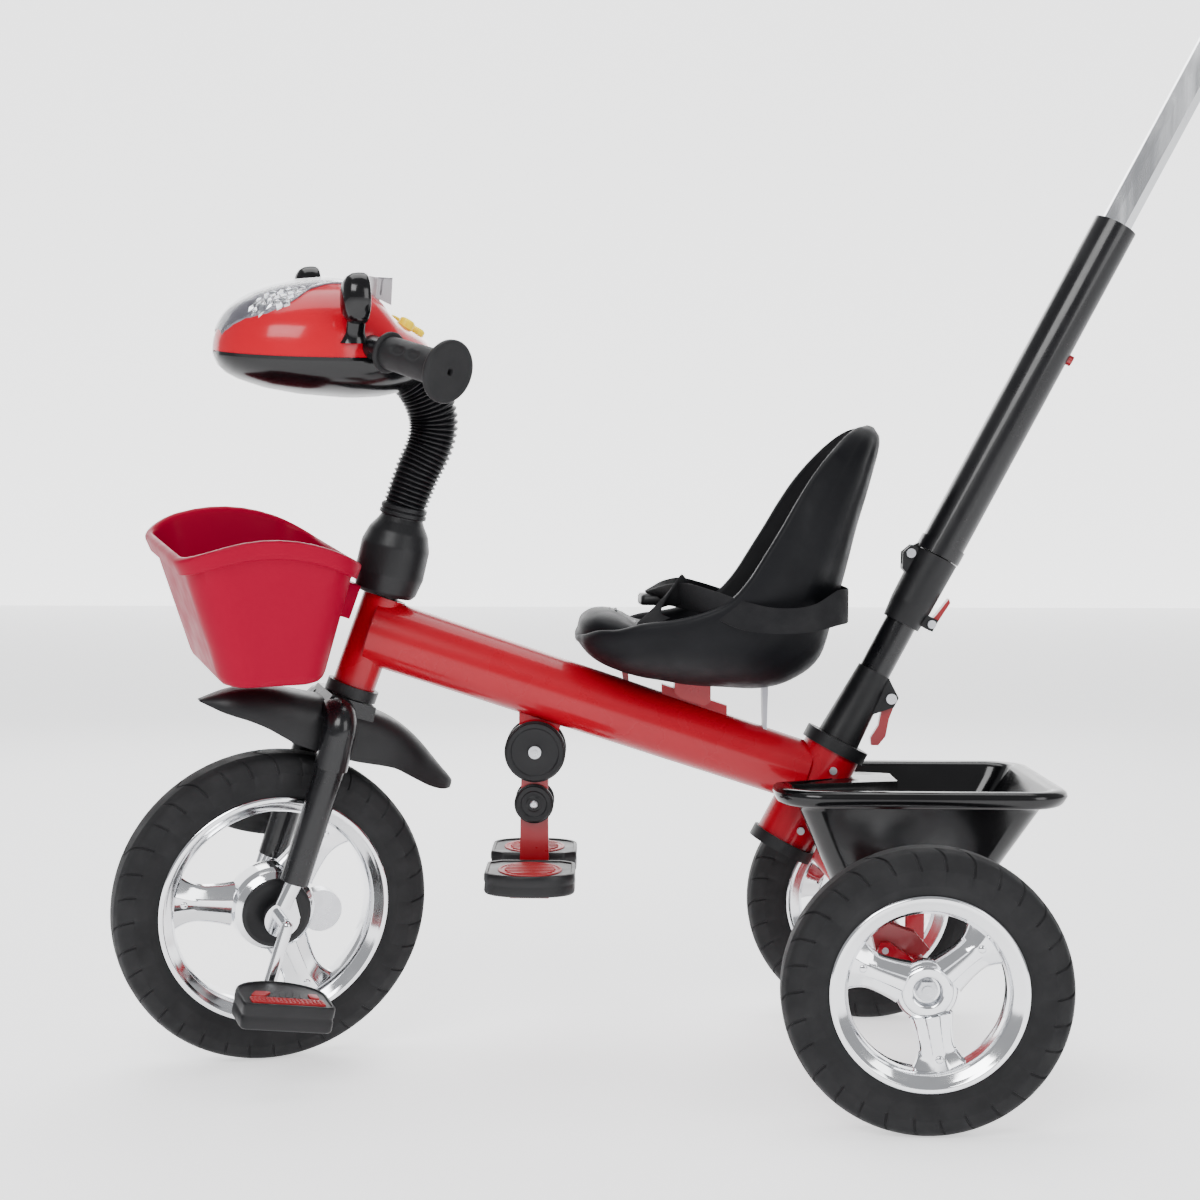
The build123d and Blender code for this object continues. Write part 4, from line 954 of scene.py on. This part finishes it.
def make_hose():
    """Ribbed hose from the stem cover up into the console, with the stem inside it."""
    path = catmull(to_front([(12, 131), (11.5, 165), (9, 198), (15, 222), (33, 243), (54, 256)]), 40)
    length, spots = 0.0, [0.0]
    for a, b in zip(path, path[1:]):
        length += (b - a).length
        spots.append(length)
    pitch, per_rib = 4.6, 8
    fine = []
    for k in range(int(length / (pitch / per_rib))):
        want = k * pitch / per_rib
        i = max(j for j in range(len(spots)) if spots[j] <= want)
        i = min(i, len(path) - 2)
        t = (want - spots[i]) / max(spots[i + 1] - spots[i], 1e-6)
        fine.append(path[i].lerp(path[i + 1], min(1.0, t)))

    def ribbed(i):
        ridge = 0.5 + 0.5 * cos(2 * pi * (i % per_rib) / per_rib)
        wide = 18.2 + 2.6 * min(1.0, i / (0.6 * len(fine)))
        return circle(wide + 2.9 * ridge ** 0.6, 40)

    front_piece("ribbed_hose", sweep_mesh(fine, ribbed), HOSE_BLACK, ("corrugated_hose",), 60)
    stem = sweep_mesh(fine, lambda i: circle(11.0, 24))
    front_piece("stem_tube", stem, STEEL, ("handlebar_stem",), 60)


def make_stem_cover():
    """Bottle-shaped cover with rings at its neck."""
    base, top = to_front([(1.5, 47.5), (12, 134)])
    axis = (top - base).normalized()
    across = axis.orthogonal().normalized()
    profile = [
        (26.4, 0), (29.6, 4), (33.2, 20), (33.0, 48), (28.5, 62), (22.5, 71), (20.4, 75), (20.4, 76),
        (22.6, 77), (22.6, 80.5), (20.8, 81.5), (22.2, 82.5), (22.2, 86), (20.0, 87), (17.5, 87),
        (17.5, 80), (18.5, 73), (29, 40), (24.6, 0)]
    radii = [1, 2, 12, 14, 12, 6, 1, .4, .5, .5, .4, .5, .5, .5, .5, 1, 2, 4, .5]
    cover = moved(lathe(rounded(profile, radii, 5), 72), basis(base, across, axis, across.cross(axis)))
    front_piece("bottle_stem_cover", cover, BLACK_PLASTIC, ("stem_cover",), 40)


# ---------------------------------------------------------------- handlebar grips
def grip_dip(s, a):
    """Depth of the oval recesses at s along the grip and angle a round it."""
    dip = 0.0
    for centre, facing in product((26.0, 47.0), (0.55, 0.55 + pi)):
        da = (a - facing + pi) % (2 * pi) - pi
        q = ((s - centre) / 8.2) ** 2 + (da * 15 / 4.2) ** 2
        if q < 1.35:
            dip = max(dip, 1.5 * min(1.0, (1.35 - q) * 2.2))
    return dip


def make_bar_grips():
    """Flanged grips with rows of oval recesses, and an end disc with a small hole."""
    for side, word in SIDES:
        inner = Vector((514.7, side * 92.7, 692.9))
        outer = Vector((481.0, side * 168.0, 680.7))
        axis = (outer - inner).normalized()
        length = (outer - inner).length
        across = axis.cross(Vector((0, 0, 1))).normalized()
        place = basis(inner, across, axis, across.cross(axis))
        rows = [(0, 11.0), (0, 17.5), (0.8, 18.6), (2.6, 18.8), (3.8, 18.0), (4.4, 15.8)]
        rows += [(4.4 + (length - 12.4) * i / 44, 15.0 + 1.2 * (i / 44)) for i in range(45)]
        flange = [(-7.4, 17.0), (-6.8, 24.0), (-6.0, 27.0), (-4.6, 28.0), (-2.0, 28.2), (-0.6, 27.4),
                  (0, 25.8), (0.2, 22.0), (0.3, 3.4), (-1.0, 2.7), (-5.0, 2.6)]
        rows += [(length + s, r) for s, r in flange]
        rings = []
        for s, radius in rows:
            dips = [grip_dip(s, a) if 14 < s < length - 18 else 0.0 for a in turns(72)]
            rings.append([Vector(((radius - dip) * cos(a), s, (radius - dip) * sin(a)))
                          for dip, a in zip(dips, turns(72))])
        replaced = ("handlebar_grips",) if side > 0 else ()
        front_piece(f"foam_grip_{word}", moved(loft_mesh(rings), place), GRIP, replaced, 45)


# ---------------------------------------------------------------- fender
def make_fender():
    """Moustache mudguard: arched across, drooping to both pointed tips, with a rolled lower edge."""
    # Top line as (ahead, up, half width) about the steering axis, then the lower edge as (ahead, up).
    spine = [
        (140, -101, 5), (131, -94.5, 12), (120, -87, 19.5), (108, -80.5, 24.5), (94, -74.5, 28.5),
        (76, -70, 32), (58, -67, 34), (44, -65.5, 35), (30, -64, 35), (15, -63, 35), (0, -62.5, 35),
        (-15, -62, 35), (-30, -62.5, 35), (-44, -64, 34), (-58, -67.5, 32.5), (-72, -73, 30),
        (-86, -80.5, 26.5), (-100, -89, 21.5), (-113, -97, 16.5), (-122, -102, 12), (-128, -106, 7)]
    lows = [
        (-128, -114), (-118, -117), (-98, -115.5), (-78, -111), (-57, -107), (-40, -108), (-18, -111),
        (15, -112), (45, -111), (60, -108), (84, -103), (100, -103.5), (118, -104), (140, -102.5)]
    thick = 2.4
    rings = []
    for a, h, w in spine:
        low = min(read_off(lows, a), h - 1.0)
        outer, inner = [], []
        for i in range(25):
            phi = pi * i / 24
            c, rise = cos(phi), abs(sin(phi)) ** 0.75
            y = w * abs(c) ** 0.62 * (1 if c >= 0 else -1)
            outer.append((a, low + (h - low) * rise, y))
            inner.append((a, low + max(0.2, h - low - thick) * rise, y * max(0.15, (w - thick) / w)))
        rings.append(to_front(outer + inner[::-1]))
    mudguard = loft_mesh(smooth_stations(rings, 3))
    front_piece("front_mudguard", mudguard, BLACK_PLASTIC, ("front_fender",), 55)


# ---------------------------------------------------------------- baskets
OVAL_COUNT = 96


def oval_point(k, half_x, half_y, radius):
    """Point k of a rounded rectangle, the same k being the same corner or side at any size."""
    quarter = OVAL_COUNT // 4
    corner, step = divmod(k % OVAL_COUNT, quarter)
    sx, sy = [(1, 1), (-1, 1), (-1, -1), (1, -1)][corner]
    start = corner * pi / 2
    turn_steps = quarter - 5
    if step < turn_steps:
        a = start + (pi / 2) * step / (turn_steps - 1)
        return (sx * (half_x - radius) + radius * cos(a), sy * (half_y - radius) + radius * sin(a))
    here = oval_point(corner * quarter + turn_steps - 1, half_x, half_y, radius)
    after = oval_point(((corner + 1) % 4) * quarter, half_x, half_y, radius)
    t = (step - turn_steps + 1) / 6
    return (here[0] + (after[0] - here[0]) * t, here[1] + (after[1] - here[1]) * t)


def bin_mesh(low, high, z0, z1, rim_z, rows):
    """Open tub: low and high are (centre x, half x, half y, corner radius) at z0 and z1. A row is
    (outward, drop below the rim or None, height above z0 if there is no drop, shrink)."""
    rings = []
    for outward, drop, lift, shrink in rows:
        ring = []
        for k in range(OVAL_COUNT):
            z = z0 + lift
            for _ in range(6):
                t = (z - z0) / (z1 - z0)
                cx, hx, hy, r = (a + (b - a) * t for a, b in zip(low, high))
                x, y = oval_point(k, hx + outward, hy + outward, max(2.0, r + outward))
                if drop is None:
                    break
                z = rim_z(cx + x) - drop
            ring.append(Vector((cx + x * shrink, y * shrink, z)))
        rings.append(ring)
    return loft_mesh(rings)


def front_rim_z(x):
    """Arched rim of the front basket, highest a little ahead of its middle."""
    radius = 158.0
    off = abs(x - 626.0)
    return 529.0 - radius + sqrt(radius ** 2 - off ** 2) if off < 157 else 380.0


def make_front_basket():
    """Crimson bin with a rolled, arched rim, and the hook behind it."""
    low, high = (613, 48, 84, 26), (618, 91, 108, 40)
    # Under the floor, up the outside, over the rim, down the inside and across the floor.
    rows = [
        (-6, None, 0.4, 0.30), (-6, None, 0.2, 0.8), (-7, None, 0, 1), (-3.2, None, 1.6, 1),
        (-0.8, None, 5.0, 1), (0, None, 10, 1), (0, 60, 0, 1), (0, 40, 0, 1), (0, 18.2, 0, 1),
        (1.0, 17.4, 0, 1), (4.2, 17.0, 0, 1), (5.4, 16.2, 0, 1), (6.0, 10, 0, 1), (6.6, 3.2, 0, 1),
        (6.2, 1.0, 0, 1), (4.6, 0.1, 0, 1), (1.0, 0, 0, 1), (-1.0, 0.5, 0, 1), (-2.2, 2.2, 0, 1),
        (-2.6, 6, 0, 1), (-2.6, 40, 0, 1), (-2.6, 60, 0, 1), (-2.6, None, 14, 1), (-4.4, None, 6.5, 1),
        (-8, None, 3.4, 1), (-12, None, 2.9, 1), (-12, None, 2.8, 0.3)]
    body = bin_mesh(low, high, 389.0, 540.0, front_rim_z, rows)
    hook = []
    for y in (-14, -12.5, 12.5, 14):
        inset = 1.5 if abs(y) > 13 else 0.0
        back, top, low_end = 30.5 + inset, 48 - inset, 15 + inset
        hook.append(to_front([(back, top, y), (59, top, y), (57.5, low_end, y), (back, low_end, y)]))
    front_piece("crimson_front_basket", joined(body, loft_mesh(hook)), BASKET_RED, ("front_basket",), 50)


def make_rear_tub():
    """Glossy tub with a thick rolled rim, notched round the rear column."""
    low, high = (-3, 59, 75, 20), (-12, 116, 106, 24)
    # (height, outward, shrink towards the centre) up the outside, over the rim and down the inside
    levels = [
        (170.4, -8, 0.3), (170.2, -8, 0.8), (170, -9, 1), (171.6, -4, 1), (175, -1.2, 1), (180, 0, 1),
        (230, 0, 1), (262, 0, 1), (266.5, 0.2, 1), (267.6, 3, 1), (267.8, 13, 1), (268.8, 15.4, 1),
        (271, 16.4, 1), (277, 16.4, 1), (281, 15.2, 1), (283, 12.4, 1), (283.6, 8, 1), (283.0, 2, 1),
        (281.4, -1.4, 1), (278.6, -2.8, 1), (270, -3, 1), (230, -3, 1), (184, -3, 1), (177, -5, 1),
        (173.6, -9, 1), (173.0, -14, 1), (173.0, -14, 0.3)]
    rings = []
    for z, outward, shrink in levels:
        t = min(1.0, (z - 170) / 106)
        cx, hx, hy, r = (a + (b - a) * t for a, b in zip(low, high))
        oval = [oval_point(k, hx + outward, hy + outward, r + outward) for k in range(OVAL_COUNT)]
        ring = [Vector((cx + x * shrink, y * shrink, z)) for x, y in oval]
        rings.append(notched(ring, z, outward))
    fixed_piece("gloss_rear_tub", loft_mesh(rings), BLACK_GLOSS, "frame", ("rear_basket",), 50)


def notched(ring, z, outward):
    """Pushes the front wall back around the rear column, with soft sides."""
    wall = 3.0 if outward < -1 else 0.0
    half, front, soft_side = 42.0 + wall, 4.0 - wall, 6.0
    if 262 < z and outward > 1:
        half, front = 36.0, 62.0
    out = []
    for p in ring:
        t = clamp((half + soft_side - abs(p.y)) / soft_side)
        soft = t * t * (3 - 2 * t) if p.x > front else 0.0
        out.append(Vector((p.x + (front - p.x) * soft, p.y, p.z)))
    return out


# ---------------------------------------------------------------- pedals and footrest
def outline_solid(outline, levels):
    """Stack of an (x, y) outline at (height, inset) levels; the inset shrinks about the middle."""
    mx = sum(p[0] for p in outline) / len(outline)
    my = sum(p[1] for p in outline) / len(outline)
    reach = max(hypot(p[0] - mx, p[1] - my) for p in outline)
    rings = []
    for z, inset in levels:
        k = 1 - inset / reach
        rings.append([Vector((mx + (x - mx) * k, my + (y - my) * k, z)) for x, y in outline])
    return loft_mesh(rings)


def arc_outline(half, y_flat, y_round, y_side, steps=18):
    """Block outline: straight outer side at y_flat, rounded side towards y_round."""
    bow = []
    for i in range(1, steps):
        a = pi * i / steps
        bow.append((half * cos(a), y_side + (y_round - y_side) * sin(a)))
    points = [(half, y_flat), (half, y_side)] + bow + [(-half, y_side), (-half, y_flat)]
    return rounded(points, [6, 3] + [0] * len(bow) + [3, 6], 4)


def pedal_parts():
    """Pedal block with its red tread: (black part, red part), lying flat about the spindle's end."""
    top = 13.0
    raised = [(top - 2.6, 0), (top - 0.9, 0), (top - 0.5, 0.6)]
    # (height, inset) from the underside over the waist to the sunk top
    levels = [
        (-top, 2.0), (-top + 1.2, 0.4), (-top + 3, 0), (-2, 0), (-1.2, 0.7), (1.2, 0.7), (2, 0),
        (top - 3.4, 0), (top - 1.6, 0.5), (top - 1.0, 1.4), (top - 1.0, 3.4), (top - 2.2, 4.0),
        (top - 2.2, 8.0)]
    black = [outline_solid(arc_outline(43.5, 65, 0, 30), levels)]
    bar = rounded([(-35, 46), (35, 46), (35, 59), (-35, 59)], 2.5, 3)
    red = [outline_solid(bar, raised)]
    for row, i in product(range(3), range(17)):
        x, y = -32 + 4 * i, 49 + 3.6 * row
        nub = [(x - 1.2, y - 1.1), (x + 1.2, y - 1.1), (x + 1.2, y + 1.1), (x - 1.2, y + 1.1)]
        red.append(outline_solid(nub, [(top - 0.8, 0), (top + 0.2, 0.3)]))
    left = [(-33, 31), (-24, 31), (-24, 43), (-33, 43)]
    wedge = [(10, 31), (26, 31), (33, 43), (20, 43)]
    red += [outline_solid(rounded(shape, 2, 3), raised) for shape in (left, wedge)]
    for i in range(5):
        x = -20 + 6.4 * i
        stripe = [(x, 30), (x + 3.2, 30), (x + 6.6, 43.5), (x + 3.4, 43.5)]
        black.append(outline_solid(stripe, [(top - 2.4, 0), (top - 0.9, 0.2)]))
    return joined(*black), joined(*red)


def make_pedals():
    """Both pedals, centred across on their CAD boxes and tilted as in the photo."""
    turned = AHEAD.to_3x3()
    black, red = pedal_parts()
    for side, name in SIDES:
        body = f"pedal_{name}"
        spot = Vector(joints[body + "_spin"]["pos_m"])
        box_low, box_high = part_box(f"pedal_{name}")
        across = turned @ Vector((0, side, 0))
        untilt = Matrix.Rotation(radians(10), 3, turned @ Vector((0, 1, 0))).inverted()
        forward, upward = untilt @ (turned @ Vector((1, 0, 0))), untilt @ (turned @ Vector((0, 0, 1)))
        origin = spot + across * ((box_low + box_high) / 2 - spot).dot(across)
        place = basis(origin, forward, across, upward) @ Matrix.Translation(Vector((0, -0.0325, 0)))
        add_piece(f"pedal_block_{name}", *placed(place, black), BLACK_PLASTIC, body, (body,), 40)
        add_piece(f"pedal_tread_{name}", *placed(place, red), TREAD_RED, body)


def make_foot_pads():
    """Two pads: flat inner edge, round outer edge, with a raised lip and a red ribbed oval."""
    black, red = [], []
    outline = [(-42, 30), (-30, 20), (30, 20), (42, 30), (42, 86)]
    outline += [(42 * cos(a), 86 + 26 * sin(a)) for a in [pi * i / 20 for i in range(1, 20)]] + [(-42, 86)]
    outline = rounded(outline, [6, 6, 6, 6, 2] + [0] * 19 + [2], 3)
    pad = outline_solid(outline, [
        (183, 3.0), (184, 1.0), (186, 0), (192, 0.8), (193.5, 0.8), (195, 0), (200.5, 0), (202.4, 1.0),
        (203, 2.6), (202.6, 4.6), (201.4, 5.4), (201.2, 9)])
    oval = [(30 * cos(a), 66 + 37 * sin(a)) for a in turns(48)]
    dish_levels = [(200.4, 0), (202.0, 0.2), (202.5, 1.0), (202.3, 3.0), (201.7, 3.6), (201.6, 8)]
    treads = [outline_solid(oval, dish_levels)]
    for k in range(7):
        y = 42 + 8 * k
        half = 24 * sqrt(max(0.05, 1 - ((y - 66) / 35) ** 2))
        rib = rounded([(-half, y - 1.3), (half, y - 1.3), (half, y + 1.3), (-half, y + 1.3)], 1.2, 3)
        treads.append(outline_solid(rib, [(201.3, 0), (202.5, 0.2), (202.9, 0.8)]))
    for side in (1, -1):
        place = Matrix.Scale(side, 4, Vector((0, 1, 0))) @ Matrix.Translation(Vector((345.4, 0, 0)))
        black.append(moved(pad, place))
        red += [moved(part, place) for part in treads]
    fixed_piece("foot_pad_pair", joined(*black), BLACK_PLASTIC, "foot_pads", ("foot_pads",), 40)
    fixed_piece("foot_pad_treads", joined(*red), TREAD_RED, "foot_pads")


def turned_pair(profile, radii, x, z, segments):
    """A turned part on each side of the tricycle, on an axis across it at (x, z)."""
    part = lathe(rounded(profile, radii, 3), segments, closed=False)
    place = Matrix.Translation(Vector((x, 0, z)))
    return joined(*[moved(part, place @ Matrix.Scale(s, 4, Vector((0, 1, 0)))) for s in (1, -1)])


def ring_covers(x, z, y0, y1, r):
    """Disc covers with a stepped edge and a shallow dish."""
    deep = y1 - y0
    profile = [
        (0.01, y0), (r, y0), (r, y0 + deep * 0.55), (r - 1.2, y0 + deep * 0.62), (r - 1.2, y1 - 1.2),
        (r - 2.4, y1), (r - 6, y1 - 0.2), (r - 7.2, y1 - 1.3), (7.4, y1 - 1.0), (6.6, y1 - 0.4),
        (4.8, y1 - 0.4), (0.01, y1 - 0.6)]
    return turned_pair(profile, [0] + [0.6] * 10 + [0], x, z, 72)


def screw_heads(x, z, y, r):
    """Pan heads with a small socket."""
    profile = [
        (0.01, y - 2), (r, y - 2), (r, y + 0.8), (r * 0.7, y + 1.8), (0.9, y + 1.9), (0.9, y + 0.7),
        (0.01, y + 0.7)]
    return turned_pair(profile, [0, 0, 0.6, 0.6, 0.2, 0.2, 0], x, z, 24)


def make_footrest():
    """Covers, screws and link arms of the folding footrest."""
    top, knee = (342.4, 306), (343.4, 256)
    covers = ring_covers(*top, 14.3, 23.6, 29.2)
    fixed_piece("footrest_disc_pair", covers, BLACK_PLASTIC, "frame", ("footrest_disc_covers",), 40)
    fixed_piece("footrest_pivot_screws", screw_heads(*top, 24.4, 4.2), STEEL, "frame")
    knobs = ring_covers(*knee, 13.9, 20.4, 18.8)
    fixed_piece("footrest_link_knobs", knobs, BLACK_PLASTIC, "footrest_link", ("footrest_link",), 40)
    edge = [(329.6, 314), (336.4, 320), (348.4, 320), (355.2, 314), (356.2, 248), (349.4, 243),
            (337.4, 243), (330.6, 248)]
    arms = joined(*[slab(rounded(edge, 2.5, 3), (s * 8.5, s * 13.9)) for s in (1, -1)])
    fixed_piece("footrest_link_arms", arms, RED_PLASTIC, "footrest_link")
    fixed_piece("footrest_knee_screws", screw_heads(*knee, 21.2, 3.8), STEEL, "footrest_link")


def make_seat_mount():
    """Slide block, thin rear strut and small front catch under the seat."""
    edge = [(210, 374), (176, 370), (176, 354), (182, 350.8), (204, 357.6), (210, 363)]
    block = slab(rounded(edge, [1, 1, 4, 4, 5, 4], 4), (-19, -17.8, 17.8, 19))
    hook = [(261, 386), (254, 383), (253, 368), (256, 364), (260, 365), (258, 371)]
    hook = slab(rounded(hook, 1.2, 3), (-4, 4))
    fixed_piece("seat_slide_block", joined(block, hook), RED_PLASTIC, "seat", ("seat_mount",))
    strut = rounded([(127, 372), (121, 372), (122.4, 322), (125.6, 322)], 1.0, 3)
    # The strut's pale grey colour is a painted highlight standing in for the reflection on a red metal plate.
    fixed_piece("seat_rear_strut", slab(strut, (-10, -9, 9, 10)), STRUT_PAINTED_HIGHLIGHT, "seat")


make_wheels()
make_seat()
make_belt()
make_console()
make_hose()
make_stem_cover()
make_bar_grips()
make_fender()
make_front_basket()
make_rear_tub()
make_pedals()
make_foot_pads()
make_footrest()
make_seat_mount()
